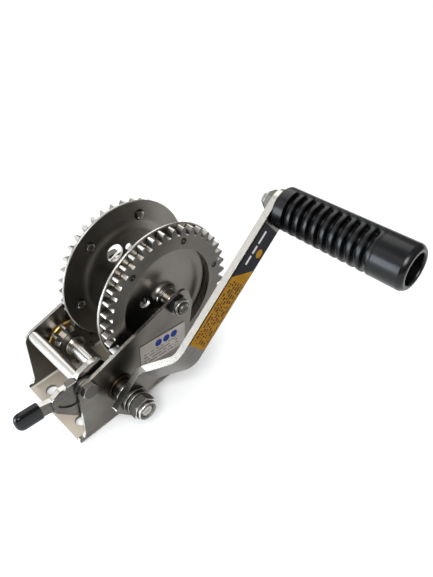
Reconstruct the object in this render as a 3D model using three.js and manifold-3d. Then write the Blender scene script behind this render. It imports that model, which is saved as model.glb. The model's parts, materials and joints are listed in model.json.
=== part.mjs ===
// Hand-cranked boat trailer winch: a bent stainless frame, a strap drum with a ring gear on each side,
// a crank shaft with two pinions, a cranked handle with a revolving grip and a two-way ratchet pawl.
// Millimetres. +Z up, the drum axle runs along Y, the crank is on the -Y side, the pawl handle at -X.
// The origin is on the underside of the base, midway along it.
import * as THREE from 'three';
import { mergeVertices } from 'three/addons/utils/BufferGeometryUtils.js';
import Module from 'manifold-3d';

const wasm = await Module();
wasm.setup();

// ---- Driving dimensions ----
const GAP = 0.3; // clearance between neighbouring pieces
const SHEET = 3; // frame sheet thickness
const BASE_HALF = 52; // half the base's length
const FRAME_HALF = 42.25; // half the frame's outer width
const PLATE_INNER = FRAME_HALF - SHEET;
const BEND_OUTER = 5;
const BEND_INNER = 2;

const GEAR_MODULE = 3.175;
const RING_TEETH = 39;
const PINION_TEETH = 13;
const PRESSURE_ANGLE = THREE.MathUtils.degToRad(20);
const BACKLASH = 0.5; // taken off every tooth's thickness at the pitch circle
const CENTRE_DISTANCE = (GEAR_MODULE * (RING_TEETH + PINION_TEETH)) / 2;
const NEAR_RING_PHASE = THREE.MathUtils.degToRad(2.7);
const FAR_RING_PHASE = THREE.MathUtils.degToRad(4);

const DRUM = { x: 64, z: 79 };
const CRANK_BEARING = THREE.MathUtils.degToRad(214.36); // direction from the drum axle to the crank shaft
const CRANK = {
  x: DRUM.x + CENTRE_DISTANCE * Math.cos(CRANK_BEARING),
  z: DRUM.z + CENTRE_DISTANCE * Math.sin(CRANK_BEARING),
};
const PAWL = { x: -31, z: 56 };

const FLANGE_RADIUS = 66;
const FLANGE_SHEET = 2.5;
const FLANGE_INNER = 23.5; // distance of the flat rim's inner face from the drum's middle plane
const DISH_INNER = 21; // the same for the dish's floor
const DISH_RIM_RADIUS = 46;
const NECK_FLARE_RADIUS = 17; // where the floor starts to curve out into the neck
const NECK_RADIUS = 10.2;
const NECK_BORE = 8.5;
const PIN_HOLE = [18.8, 173.5, 4.8]; // distance from the axle, direction in degrees and radius
const ROPE_HOLE = [28.6, 111.6, 8.3];
const CLAMP_HOLE = [25.6, 81.3, 3.2];
const HUB_CORE_RADIUS = 16;
const RING_NEAR_FACE = 26.4; // ring gear's inner face
const RING_FAR_FACE = 33.6; // ring gear's outer face
const RING_BORE = 46;
const RIVET_CIRCLE = 53;
const RIVET_COUNT = 6;
const RIVET_START = THREE.MathUtils.degToRad(5);
const RIVET_RADIUS = 2.6;

const AXLE_RADIUS = 5;
const HUB_END = 30.4; // distance of the hub tube's end from the drum's middle plane
const MOUNT_HOLE_RADIUS = 5.5;
const SHAFT_RADIUS = 7.5;
const SHAFT_SQUARE = 12;
const CRANK_THREAD_RADIUS = 5.9;
const SHAFT_NEAR_END = -77;
const SHAFT_FAR_END = 49;
const CLIP_GROOVE = [44.5, 46.1]; // the clip's groove near the shaft's far end
const CLIP_GROOVE_RADIUS = 6.3;
const BUSH_RADIUS = 10;
const BUSH_FLANGE_RADIUS = 12.5;
const BUSH_FLANGE = 1.8;
const FAR_BUSH_BOSS_RADIUS = 13.6;
const FAR_BUSH_FLANGE_RADIUS = 19.2;
const PAWL_BOLT_RADIUS = 4;

const ARM_ANGLE = THREE.MathUtils.degToRad(37.9); // the arm's rise above +X at rest
const ARM_WIDTH = 25;
const ARM_THICKNESS = 6;
const ARM_HUB_FACE = -60; // outer face at the shaft
const ARM_MAIN_FACE = -85; // outer face at the grip
const CRANK_NUT_SEAT = -66.2;
const CRANK_NUT_TURN = 36; // degrees about the shaft from the arm's own line
const ARM_REACH = 192.7; // shaft to grip bolt
const ARM_TAIL = 15;
const DOGLEG_START = 22;
const DOGLEG_END = 48;

const GRIP_RADIUS = 17.5;
const GRIP_LENGTH = 112.6;
const GRIP_BORE_RADIUS = 12;
const GRIP_BORE_DEPTH = 34;
const GRIP_CUP_LENGTH = 27; // the smooth end piece of the grip
const GRIP_BOLT_RADIUS = 5;
const GROOVE_COUNT = 10;
const GROOVE_PITCH = 7.7;
const GROOVE_WIDTH = 4.7;
const GROOVE_DEPTH = 4;
const COLLAR_LENGTH = 10.3; // smooth length between the arm and the first groove

const PAWL_NEAR_FACE = -36.5;
const PAWL_THICKNESS = 5;
const CHEEK_NEAR_FACE = -38;
const CHEEK_TAB_TOP = 10.2; // height of the cheek's folded tab above the pivot
const PAWL_SPACER_RADIUS = 5.2;
const SPRING_WIRE_RADIUS = 0.5;
const SPRING_TURN_RADIUS = 9.4;

// ---- Materials ----
const material = (colour, roughness, metalness) =>
  new THREE.MeshStandardMaterial({ color: colour, roughness, metalness });
const STEEL = () => material(0x9c9890, 0.35, 0.95);
const BRIGHT = () => material(0xb9b6ae, 0.25, 1);
const BRASS = () => material(0xb08a3c, 0.35, 0.9);
const SPRING_STEEL = () => material(0x2a2826, 0.45, 0.8);
const GRIP_PLASTIC = () => material(0x0d0d0e, 0.4, 0);
const VINYL = () => material(0x0a0a0b, 0.3, 0);
const LABEL_GREY = () => material(0x9d9791, 0.5, 0);
const LABEL_AMBER = () => material(0xc08a10, 0.5, 0);
const LABEL_BLACK = () => material(0x1a1a1c, 0.5, 0);

// ---- Solids ----
// Turns a closed three.js geometry into a manifold solid that faces out.
function solid(geometry) {
  const bare = geometry.clone();
  bare.deleteAttribute('normal');
  bare.deleteAttribute('uv');
  const merged = mergeVertices(bare, 1e-4);
  const vertProperties = new Float32Array(merged.attributes.position.array);
  const triVerts = withoutSlivers(new Uint32Array(merged.index.array));
  const result = fromTriangles(vertProperties, triVerts);
  return result.volume() < 0 ? fromTriangles(vertProperties, triVerts.reverse()) : result;
}

function fromTriangles(vertProperties, triVerts) {
  return new wasm.Manifold(new wasm.Mesh({ numProp: 3, vertProperties, triVerts }));
}

// Drops the triangles that a lathe or a merge has closed up to a line.
function withoutSlivers(indices) {
  const kept = [];
  for (let i = 0; i < indices.length; i += 3) {
    const [a, b, c] = [indices[i], indices[i + 1], indices[i + 2]];
    if (a !== b && b !== c && c !== a) kept.push(a, b, c);
  }
  return new Uint32Array(kept);
}

function toMesh(name, shape, meshMaterial) {
  const data = shape.getMesh();
  const geometry = new THREE.BufferGeometry();
  geometry.setAttribute('position', new THREE.BufferAttribute(new Float32Array(data.vertProperties), 3));
  geometry.setIndex(new THREE.BufferAttribute(new Uint32Array(data.triVerts), 1));
  geometry.computeVertexNormals();
  const mesh = new THREE.Mesh(geometry, meshMaterial);
  mesh.name = name;
  return mesh;
}

// A lathe about the Y axis; the profile is a closed list of [radius, y].
function lathe(profile, segments = 24) {
  const points = profile.map(([radius, y]) => new THREE.Vector2(radius, y));
  points.push(points[0].clone());
  return solid(new THREE.LatheGeometry(points, segments));
}

const tube = (outer, inner, y0, y1, segments = 20) =>
  lathe([[inner, y0], [outer, y0], [outer, y1], [inner, y1]], segments);

// A rod with a small chamfer at both ends.
const rod = (radius, y0, y1, segments = 16, chamfer = 0.6) =>
  lathe([
    [0, y0],
    [radius - chamfer, y0],
    [radius, y0 + chamfer],
    [radius, y1 - chamfer],
    [radius - chamfer, y1],
    [0, y1],
  ], segments);

// Extrudes a shape drawn as (x, z) from y0 to y1, with y0 < y1.
function extrudeY(shape, y0, y1, curveSegments = 6) {
  const geometry = new THREE.ExtrudeGeometry(shape, { depth: y1 - y0, bevelEnabled: false, curveSegments });
  geometry.rotateX(Math.PI / 2);
  geometry.translate(0, y1, 0);
  return solid(geometry);
}

// An outline through corners [a, b, radius], each rounded by its radius.
function roundedOutline(corners) {
  const shape = new THREE.Shape();
  corners.forEach(([a, b, radius = 0], i) => {
    const corner = new THREE.Vector2(a, b);
    const before = new THREE.Vector2(...corners.at(i - 1).slice(0, 2));
    const after = new THREE.Vector2(...corners[(i + 1) % corners.length].slice(0, 2));
    const start = before.sub(corner).setLength(radius).add(corner);
    const end = after.sub(corner).setLength(radius).add(corner);
    if (i === 0) shape.moveTo(start.x, start.y);
    else shape.lineTo(start.x, start.y);
    if (radius > 0) shape.quadraticCurveTo(corner.x, corner.y, end.x, end.y);
  });
  shape.closePath();
  return shape;
}

function circle(x, z, radius) {
  const shape = new THREE.Shape();
  shape.absarc(x, z, radius, 0, 2 * Math.PI);
  return shape;
}

const drill = (x, z, radius, y0, y1) => extrudeY(circle(x, z, radius), y0, y1, 10);

const moved = (shape, x, z) => shape.translate([x, 0, z]);

// A hexagon prism about Y.
function hexPrism(acrossFlats, y0, y1) {
  const cornerRadius = acrossFlats / Math.sqrt(3);
  const corners = [...Array(6).keys()].map((i) => {
    const angle = (i * Math.PI) / 3;
    return [cornerRadius * Math.cos(angle), cornerRadius * Math.sin(angle)];
  });
  return extrudeY(roundedOutline(corners), Math.min(y0, y1), Math.max(y0, y1));
}

// A bolt: shank from its tip to the seat, and a head that stands outward from the seat.
function hexBolt(radius, acrossFlats, seat, headHeight, tip) {
  const outward = Math.sign(seat - tip);
  const buried = seat + outward * (headHeight / 2);
  const shank = rod(radius, Math.min(buried, tip), Math.max(buried, tip));
  return shank.add(hexPrism(acrossFlats, seat, seat + outward * headHeight));
}

// A lock nut: hexagon next to the seat, and a round collar at its outer end.
function lockNut(bore, acrossFlats, seat, height, outward) {
  const hexEnd = seat + outward * height * 0.72;
  const end = seat + outward * height;
  const collarRadius = acrossFlats * 0.44;
  const hex = hexPrism(acrossFlats, seat, hexEnd);
  const collar = lathe([
    [0, hexEnd - outward],
    [collarRadius, hexEnd - outward],
    [collarRadius, end - outward * 1.2],
    [collarRadius - 1, end],
    [0, end],
  ], 16);
  return hex.add(collar).subtract(rod(bore + GAP, Math.min(seat, end) - 2, Math.max(seat, end) + 2));
}

// ---- Gears ----
// One flank point of an involute tooth: half-angle of the tooth at a radius.
function toothHalfAngle(radius, pitchRadius) {
  const baseRadius = pitchRadius * Math.cos(PRESSURE_ANGLE);
  const involute = (angle) => Math.tan(angle) - angle;
  const atRadius = Math.acos(Math.min(1, baseRadius / Math.max(radius, baseRadius)));
  const thickness = (Math.PI * GEAR_MODULE) / 2 - BACKLASH;
  return thickness / (2 * pitchRadius) + involute(PRESSURE_ANGLE) - involute(atRadius);
}

// A spur gear's outline, with a tooth centred on the phase angle.
function gearShape(teeth, phase, boreRadius, boreSegments, relief) {
  const pitchRadius = (GEAR_MODULE * teeth) / 2;
  const rootRadius = pitchRadius - 1.25 * GEAR_MODULE;
  const tipRadius = pitchRadius + 0.94 * GEAR_MODULE;
  const waist = Math.max(pitchRadius * Math.cos(PRESSURE_ANGLE), rootRadius + 0.4);
  const radii = [waist, pitchRadius, tipRadius];
  const flank = radii.map((radius) => [radius, toothHalfAngle(radius, pitchRadius)]);
  flank.unshift([rootRadius, flank[0][1] + relief]);
  const shape = new THREE.Shape();
  for (let tooth = 0; tooth < teeth; tooth += 1) {
    const centre = phase + (tooth * 2 * Math.PI) / teeth;
    const rising = flank.map(([radius, half]) => [radius, centre - half]);
    const falling = flank.map(([radius, half]) => [radius, centre + half]).reverse();
    [...rising, ...falling].forEach(([radius, angle], i) => {
      const [x, y] = [radius * Math.cos(angle), radius * Math.sin(angle)];
      if (tooth === 0 && i === 0) shape.moveTo(x, y);
      else shape.lineTo(x, y);
    });
  }
  shape.closePath();
  const bore = new THREE.Path();
  for (let i = 0; i < boreSegments; i += 1) {
    const angle = (-i * 2 * Math.PI) / boreSegments;
    const [x, y] = [boreRadius * Math.cos(angle), boreRadius * Math.sin(angle)];
    if (i === 0) bore.moveTo(x, y);
    else bore.lineTo(x, y);
  }
  bore.closePath();
  shape.holes.push(bore);
  return shape;
}

// The pinion's phase that puts a gap on the ring gear's tooth at the line of centres.
function pinionPhase(ringPhase) {
  const pitch = (2 * Math.PI) / RING_TEETH;
  const nearest = Math.round((CRANK_BEARING - ringPhase) / pitch) * pitch + ringPhase;
  const offset = nearest - CRANK_BEARING;
  return CRANK_BEARING + Math.PI - (offset * RING_TEETH) / PINION_TEETH + Math.PI / PINION_TEETH;
}

function rivetSpots() {
  return [...Array(RIVET_COUNT).keys()].map((i) => {
    const angle = RIVET_START + (i * 2 * Math.PI) / RIVET_COUNT;
    return [RIVET_CIRCLE * Math.cos(angle), RIVET_CIRCLE * Math.sin(angle)];
  });
}

function withRivetHoles(shape) {
  return rivetSpots().reduce(
    (rest, [x, z]) => rest.subtract(moved(rod(RIVET_RADIUS + GAP, -40, 40, 8), x, z)),
    shape,
  );
}

// side is -1 for the crank's side and +1 for the far side.
function ringGear(side) {
  const phase = side < 0 ? NEAR_RING_PHASE : FAR_RING_PHASE;
  const [y0, y1] = side < 0 ? [-RING_FAR_FACE, -RING_NEAR_FACE] : [RING_NEAR_FACE, RING_FAR_FACE];
  const blank = extrudeY(gearShape(RING_TEETH, phase, RING_BORE, 42, 0.01), y0, y1);
  return moved(withRivetHoles(blank), DRUM.x, DRUM.z);
}

function pinion(side) {
  const phase = pinionPhase(side < 0 ? NEAR_RING_PHASE : FAR_RING_PHASE);
  const [y0, y1] = side < 0 ? [-PLATE_INNER + 2 * GAP, -RING_NEAR_FACE] : [RING_NEAR_FACE, 34.5];
  const shape = gearShape(PINION_TEETH, phase, SHAFT_RADIUS + GAP, 20, -0.02);
  return moved(extrudeY(shape, y0, y1), CRANK.x, CRANK.z);
}

// ---- Drum ----
// Half of the drum: a pressed disc with a flat riveted rim, a shallow dish and a neck over the hub's tube.
function drumFlange(side) {
  const rim = FLANGE_INNER;
  const floor = DISH_INNER;
  const outer = FLANGE_SHEET;
  const section = [
    [FLANGE_RADIUS - 0.7, rim],
    [DISH_RIM_RADIUS + 0.6, rim],
    [DISH_RIM_RADIUS - 1, rim - 0.9],
    [DISH_RIM_RADIUS - 2, floor],
    [NECK_FLARE_RADIUS, floor],
    [NECK_FLARE_RADIUS - 4, floor + 0.8],
    [NECK_BORE + 1.3, floor + 3],
    [NECK_BORE, floor + 6.5],
    [NECK_BORE, HUB_END],
    [NECK_RADIUS, HUB_END],
    [NECK_RADIUS, floor + 7.5],
    [NECK_RADIUS + 1.3, floor + 4.6],
    [NECK_FLARE_RADIUS - 2, floor + 2.9],
    [NECK_FLARE_RADIUS + 2, floor + outer],
    [DISH_RIM_RADIUS - 3.2, floor + outer],
    [DISH_RIM_RADIUS - 2, rim + outer - 1.4],
    [DISH_RIM_RADIUS - 0.4, rim + outer],
    [FLANGE_RADIUS - 0.7, rim + outer],
    [FLANGE_RADIUS, rim + outer - 0.7],
    [FLANGE_RADIUS, rim + 0.7],
  ];
  let disc = lathe(section.map(([radius, y]) => [radius, side * y]), 42);
  const holes = side < 0 ? [PIN_HOLE] : [ROPE_HOLE, CLAMP_HOLE];
  disc = holes.reduce((rest, hole) => rest.subtract(flangeHole(...hole)), withRivetHoles(disc));
  return moved(disc, DRUM.x, DRUM.z);
}

function flangeHole(distance, degrees, radius) {
  const angle = THREE.MathUtils.degToRad(degrees);
  return drill(distance * Math.cos(angle), distance * Math.sin(angle), radius, -40, 40);
}

function drumHub() {
  const coreEnd = DISH_INNER - GAP;
  const tubeRadius = NECK_BORE - GAP;
  const bore = AXLE_RADIUS + 0.4;
  const half = [
    [HUB_CORE_RADIUS, coreEnd],
    [tubeRadius, coreEnd],
    [tubeRadius, HUB_END],
    [bore, HUB_END],
  ];
  const mirrored = half.map(([radius, y]) => [radius, -y]).reverse();
  return moved(lathe([...half, ...mirrored]), DRUM.x, DRUM.z);
}

function rivet(side, [x, z]) {
  const head = FLANGE_INNER - GAP;
  const section = [
    [0, head - 1.9],
    [3.4, head - 1.6],
    [4.8, head],
    [RIVET_RADIUS, head],
    [RIVET_RADIUS, RING_FAR_FACE + 0.2],
    [0, RING_FAR_FACE + 0.2],
  ];
  return moved(lathe(section.map(([radius, y]) => [radius, side * y]), 8), DRUM.x + x, DRUM.z + z);
}

// ---- Frame ----
// The side plate's outline, from its front foot round over the axle.
function sideOutline() {
  return roundedOutline([
    [-BASE_HALF, -1, 0],
    [BASE_HALF, -1, 1],
    [BASE_HALF + 16.7, 23, 14],
    [BASE_HALF + 28.9, 69.6, 0.5],
    [BASE_HALF + 24.8, 90.2, 16],
    [-38.9, 59.4, 7],
    [-44.8, 10.5, 2],
    [-47.2, 6.2, 1],
    [-BASE_HALF, 7.6, 1],
  ]);
}

// The channel's section, drawn as (y, z): a floor with two upright walls and round bends.
function channelSection() {
  const wall = FRAME_HALF;
  const inner = PLATE_INNER;
  const top = 100;
  return roundedOutline([
    [-wall, 0, BEND_OUTER],
    [wall, 0, BEND_OUTER],
    [wall, top, 0],
    [inner, top, 0],
    [inner, SHEET, BEND_INNER],
    [-inner, SHEET, BEND_INNER],
    [-inner, top, 0],
    [-wall, top, 0],
  ]);
}

function frame() {
  const length = 2 * BASE_HALF + 40;
  const channel = new THREE.ExtrudeGeometry(channelSection(), {
    depth: length,
    bevelEnabled: false,
    curveSegments: 5,
  });
  channel.rotateX(Math.PI / 2);
  channel.rotateZ(Math.PI / 2);
  channel.translate(-BASE_HALF, 0, 0);
  const blank = solid(channel).intersect(extrudeY(sideOutline(), -60, 60));
  return frameHoles().reduce((rest, hole) => rest.subtract(hole), blank);
}

function frameHoles() {
  const across = [-60, 60];
  const bolt = MOUNT_HOLE_RADIUS;
  const slot = roundedOutline([
    [26, -bolt, bolt],
    [46, -bolt, bolt],
    [46, bolt, bolt],
    [26, bolt, bolt],
  ]);
  const upright = (shape) => extrudeY(shape, -5, 10).rotate([-90, 0, 0]);
  return [
    drill(DRUM.x, DRUM.z, AXLE_RADIUS + GAP, ...across),
    drill(CRANK.x, CRANK.z, BUSH_RADIUS + GAP, ...across),
    drill(PAWL.x, PAWL.z, PAWL_BOLT_RADIUS + GAP, ...across),
    upright(circle(-39, 23.5, bolt)),
    upright(circle(-39, -23.5, bolt)),
    upright(slot),
  ];
}

// ---- Axle ----
function axleParts() {
  const seat = FRAME_HALF + GAP;
  const spacer = tube(8, AXLE_RADIUS + GAP, HUB_END + 0.4, PLATE_INNER - GAP);
  const place = (shape) => moved(shape, DRUM.x, DRUM.z);
  return [
    toMesh('axle_bolt', place(hexBolt(AXLE_RADIUS, 17, seat, 6.4, -52.6)), BRIGHT()),
    toMesh('axle_nut', place(lockNut(AXLE_RADIUS, 17, -seat, 8.2, -1)), BRIGHT()),
    toMesh('axle_spacer_near', place(spacer.mirror([0, 1, 0])), BRIGHT()),
    toMesh('axle_spacer_far', place(spacer), BRIGHT()),
  ];
}

// ---- Crank shaft and its bearings ----
function crankShaft() {
  const thread = CRANK_THREAD_RADIUS;
  const shoulder = ARM_HUB_FACE + ARM_THICKNESS + GAP;
  const section = [
    [0, SHAFT_NEAR_END],
    [thread - 1, SHAFT_NEAR_END],
    [thread, SHAFT_NEAR_END + 1],
    [thread, shoulder],
    [SHAFT_RADIUS, shoulder],
    [SHAFT_RADIUS, 24.4],
    [9.5, 24.4],
    [9.5, RING_NEAR_FACE - GAP],
    [SHAFT_RADIUS, RING_NEAR_FACE - GAP],
    [SHAFT_RADIUS, CLIP_GROOVE[0]],
    [CLIP_GROOVE_RADIUS, CLIP_GROOVE[0]],
    [CLIP_GROOVE_RADIUS, CLIP_GROOVE[1]],
    [SHAFT_RADIUS, CLIP_GROOVE[1]],
    [SHAFT_RADIUS, SHAFT_FAR_END - 1],
    [SHAFT_RADIUS - 1, SHAFT_FAR_END],
    [0, SHAFT_FAR_END],
  ];
  const square = new THREE.BoxGeometry(SHAFT_SQUARE, ARM_THICKNESS + 1, SHAFT_SQUARE);
  square.translate(0, ARM_HUB_FACE + ARM_THICKNESS / 2 + 0.5, 0);
  square.rotateY(-ARM_ANGLE);
  const corners = solid(square).intersect(rod(SHAFT_RADIUS, -70, -40));
  return moved(lathe(section).add(corners), CRANK.x, CRANK.z);
}

// The crank side's bush: a barrel in the frame plate with a thin flange outside it.
function bushNear() {
  const bore = SHAFT_RADIUS + GAP;
  const seat = -FRAME_HALF - GAP;
  return lathe([
    [bore, -PLATE_INNER],
    [BUSH_RADIUS, -PLATE_INNER],
    [BUSH_RADIUS, seat],
    [BUSH_FLANGE_RADIUS, seat],
    [BUSH_FLANGE_RADIUS, seat - BUSH_FLANGE],
    [bore, seat - BUSH_FLANGE],
  ]);
}

// The far bush: a barrel in the plate, with a wide flange and a boss inside it.
function bushFar() {
  const bore = SHAFT_RADIUS + GAP;
  const seat = PLATE_INNER - GAP;
  return lathe([
    [bore, 34.8],
    [FAR_BUSH_BOSS_RADIUS - 1, 34.8],
    [FAR_BUSH_BOSS_RADIUS, 35.6],
    [FAR_BUSH_BOSS_RADIUS, seat - 2.2],
    [FAR_BUSH_FLANGE_RADIUS - 0.8, seat - 2.2],
    [FAR_BUSH_FLANGE_RADIUS, seat - 1.4],
    [FAR_BUSH_FLANGE_RADIUS, seat],
    [BUSH_RADIUS, seat],
    [BUSH_RADIUS, FRAME_HALF + 1],
    [bore, FRAME_HALF + 1],
  ], 28);
}

// An open ring that snaps into the shaft's groove.
function shaftClip() {
  const ring = tube(11, CLIP_GROOVE_RADIUS + GAP, CLIP_GROOVE[0] + GAP, CLIP_GROOVE[1] - GAP);
  const mouth = new THREE.BoxGeometry(9, 4, 14);
  mouth.translate(0, 45.3, -9);
  return ring.subtract(solid(mouth));
}

function crankShaftParts() {
  const place = (shape) => moved(shape, CRANK.x, CRANK.z);
  const bore = SHAFT_RADIUS + GAP;
  const flangeEnd = -FRAME_HALF - GAP - BUSH_FLANGE;
  const hubInner = ARM_HUB_FACE + ARM_THICKNESS;
  return [
    toMesh('crank_shaft', crankShaft(), BRIGHT()),
    toMesh('pinion_near', pinion(-1), BRIGHT()),
    toMesh('pinion_far', pinion(1), BRIGHT()),
    toMesh('bush_near', place(bushNear()), BRASS()),
    toMesh('bush_far', place(bushFar()), BRASS()),
    toMesh('crank_spacer', place(tube(BUSH_RADIUS, bore, hubInner + 2.7, flangeEnd - GAP)), STEEL()),
    toMesh('crank_washer', place(tube(BUSH_FLANGE_RADIUS, bore, hubInner + GAP, hubInner + 2.4)), BRIGHT()),
    toMesh('shaft_clip', place(shaftClip()), SPRING_STEEL()),
  ];
}

// ---- Crank arm and grip ----
// Local axes for the arm: x along it from the shaft, z across its width.
function crankArm() {
  const end = ARM_REACH + ARM_WIDTH / 2;
  const half = ARM_WIDTH / 2;
  const lean = 2.4; // how far the inner bends sit beyond the outer ones
  const side = roundedOutline([
    [-ARM_TAIL, ARM_HUB_FACE, 0],
    [DOGLEG_START, ARM_HUB_FACE, 5],
    [DOGLEG_END, ARM_MAIN_FACE, 9],
    [end, ARM_MAIN_FACE, 0],
    [end, ARM_MAIN_FACE + ARM_THICKNESS, 0],
    [DOGLEG_END + lean, ARM_MAIN_FACE + ARM_THICKNESS, 5],
    [DOGLEG_START + lean, ARM_HUB_FACE + ARM_THICKNESS, 9],
    [-ARM_TAIL, ARM_HUB_FACE + ARM_THICKNESS, 0],
  ]);
  const bar = new THREE.ExtrudeGeometry(side, { depth: ARM_WIDTH, bevelEnabled: false, curveSegments: 5 });
  bar.translate(0, 0, -half);
  const face = roundedOutline([
    [-ARM_TAIL, -half, 4],
    [end, -half, half],
    [end, half, half],
    [-ARM_TAIL, half, 4],
  ]);
  const square = new THREE.BoxGeometry(SHAFT_SQUARE + 2 * GAP, 40, SHAFT_SQUARE + 2 * GAP);
  square.translate(0, ARM_HUB_FACE, 0);
  return solid(bar)
    .intersect(extrudeY(face, -100, -40, 8))
    .subtract(solid(square))
    .subtract(drill(ARM_REACH, 0, GRIP_BOLT_RADIUS + GAP, -100, -60));
}

// The stepped spacer between the arm and its nut.
function nutSpacer() {
  const bore = CRANK_THREAD_RADIUS + GAP;
  const seat = ARM_HUB_FACE - GAP;
  const end = CRANK_NUT_SEAT + GAP;
  return lathe([[bore, end], [10.3, end], [10.3, seat - 2.7], [12, seat - 2.7], [12, seat], [bore, seat]]);
}

const GRIP_START = ARM_MAIN_FACE - 0.4;
const GRIP_END = GRIP_START - GRIP_LENGTH;

// The grip's ribbed length about its own axis, with a collar at the arm and ribs joined by a spine.
function grip() {
  const start = GRIP_START;
  const end = GRIP_END + GRIP_CUP_LENGTH + GAP;
  const ribStart = start - COLLAR_LENGTH;
  const grooveStarts = [...Array(GROOVE_COUNT).keys()].map((i) => ribStart - i * GROOVE_PITCH);
  const grooves = grooveStarts.flatMap(grooveSection);
  const outer = [[GRIP_RADIUS - 2.5, start], [GRIP_RADIUS - 0.6, start - 2], ...grooves];
  outer.push([GRIP_RADIUS - 0.4, end]);
  const bore = [
    [GRIP_BORE_RADIUS, end],
    [GRIP_BORE_RADIUS, GRIP_END + GRIP_BORE_DEPTH],
    [GRIP_BOLT_RADIUS + 0.4, GRIP_END + GRIP_BORE_DEPTH],
    [GRIP_BOLT_RADIUS + 0.4, start],
  ];
  return lathe([...outer, ...bore], 20).add(gripSpine(ribStart));
}

// The grip's smooth open end.
function gripCup() {
  return lathe([
    [GRIP_BORE_RADIUS, GRIP_END],
    [GRIP_RADIUS - 1.5, GRIP_END],
    [GRIP_RADIUS + 0.6, GRIP_END + 5],
    [GRIP_RADIUS - 0.2, GRIP_END + GRIP_CUP_LENGTH],
    [GRIP_BORE_RADIUS, GRIP_END + GRIP_CUP_LENGTH],
  ], 20);
}

// One groove's four section points, from its edge nearest the arm.
function grooveSection(y) {
  const rim = GRIP_RADIUS - 0.6;
  const floor = GRIP_RADIUS - GROOVE_DEPTH;
  return [[rim, y], [floor, y - 0.7], [floor, y - GROOVE_WIDTH + 0.7], [rim, y - GROOVE_WIDTH]];
}

function gripSpine(ribStart) {
  const length = GROOVE_COUNT * GROOVE_PITCH - GROOVE_WIDTH / 2;
  const spine = new THREE.BoxGeometry(3.6, length, 9);
  spine.translate(GRIP_RADIUS - 2.8, ribStart - length / 2 + 1.5, 0);
  spine.rotateY(THREE.MathUtils.degToRad(-65));
  return solid(spine);
}

function armParts() {
  const nutSeat = ARM_MAIN_FACE + ARM_THICKNESS + GAP;
  const boltSeat = GRIP_END + GRIP_BORE_DEPTH - GAP;
  const atGrip = (shape) => moved(
    shape,
    CRANK.x + ARM_REACH * Math.cos(ARM_ANGLE),
    CRANK.z + ARM_REACH * Math.sin(ARM_ANGLE),
  );
  const degrees = THREE.MathUtils.radToDeg(ARM_ANGLE);
  const nut = lockNut(CRANK_THREAD_RADIUS, 19, CRANK_NUT_SEAT, 12, -1);
  const turned = (shape) => moved(shape.rotate([0, -degrees, 0]), CRANK.x, CRANK.z);
  return [
    toMesh('crank_arm', turned(crankArm()), BRIGHT()),
    toMesh('crank_nut', turned(nut.rotate([0, -CRANK_NUT_TURN, 0])), BRIGHT()),
    toMesh('nut_spacer', turned(nutSpacer()), BRIGHT()),
    toMesh('arm_label_top', turned(armLabel(132, 174)), LABEL_BLACK()),
    toMesh('arm_label_lower', turned(armLabel(64, 131.4)), LABEL_AMBER()),
    toMesh('grip', atGrip(grip()), GRIP_PLASTIC()),
    toMesh('grip_cup', atGrip(gripCup()), GRIP_PLASTIC()),
    toMesh('grip_bolt', atGrip(hexBolt(GRIP_BOLT_RADIUS, 17, boltSeat, 6.4, -65)), BRIGHT()),
    toMesh('grip_nut', atGrip(lockNut(GRIP_BOLT_RADIUS, 17, nutSeat, 10, 1)), BRIGHT()),
  ];
}

function armLabel(from, to) {
  const half = ARM_WIDTH / 2 - 1.6;
  const corners = [[from, -half], [to, -half], [to, half], [from, half]];
  const outline = roundedOutline(corners.map(([x, z]) => [x, z, 1.5]));
  const face = ARM_MAIN_FACE - GAP;
  return extrudeY(outline, face - 0.3, face, 3);
}

// ---- Pawl ----
// The two-way pawl about its pivot: a handle at -x and two claws that reach round the pinion.
function pawlOutline() {
  return roundedOutline([
    [-55, -2, 2],
    [-55, 10.5, 2],
    [-36, 8.2, 2],
    [-27, 5.2, 2],
    [-19.5, 9.2, 1.5],
    [-14, 8.6, 1],
    [-5, 8.6, 1],
    [-1.5, 13, 2],
    [11, 16.6, 4],
    [19.5, 14.5, 4],
    [24.2, 3.4, 0.8],
    [18.5, 4.6, 2],
    [9, -1.4, 4],
    [2, -11, 5],
    [-0.6, -20, 4],
    [-0.2, -28, 3],
    [2.6, -35, 0.8],
    [-4, -38, 2],
    [-13.3, -26, 4],
    [-25, -11.8, 4],
    [-30, -5.4, 3],
    [-38, -3.6, 2],
  ]);
}

function pawlLever() {
  const plate = extrudeY(pawlOutline(), PAWL_NEAR_FACE, PAWL_NEAR_FACE + PAWL_THICKNESS, 4);
  return plate.subtract(drill(0, 0, PAWL_BOLT_RADIUS + GAP, -60, 0));
}

// The thin plate in front of the lever, with a tab at its top folded back over the lever.
function pawlCheek() {
  const outline = roundedOutline([
    [-28.6, 6.6, 3],
    [-28.8, -7, 3],
    [-13.3, -26, 4],
    [-4, -38, 2],
    [2.6, -35, 0.8],
    [-0.2, -28, 3],
    [-0.6, -20, 4],
    [2, -11, 5],
    [9, -5, 4],
    [9, 6, 4],
    [-5.4, CHEEK_TAB_TOP, 0.4],
    [-12.8, CHEEK_TAB_TOP, 0.4],
    [-15.5, 9, 1],
  ]);
  const sheet = PAWL_NEAR_FACE - GAP;
  const tab = roundedOutline([
    [-12.8, CHEEK_TAB_TOP - 1.2],
    [-5.4, CHEEK_TAB_TOP - 1.2],
    [-5.4, CHEEK_TAB_TOP],
    [-12.8, CHEEK_TAB_TOP],
  ]);
  return extrudeY(outline, CHEEK_NEAR_FACE, sheet, 4)
    .add(extrudeY(tab, CHEEK_NEAR_FACE + 0.4, PAWL_NEAR_FACE + PAWL_THICKNESS))
    .subtract(drill(0, 0, PAWL_BOLT_RADIUS + GAP, -60, 0));
}

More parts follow.
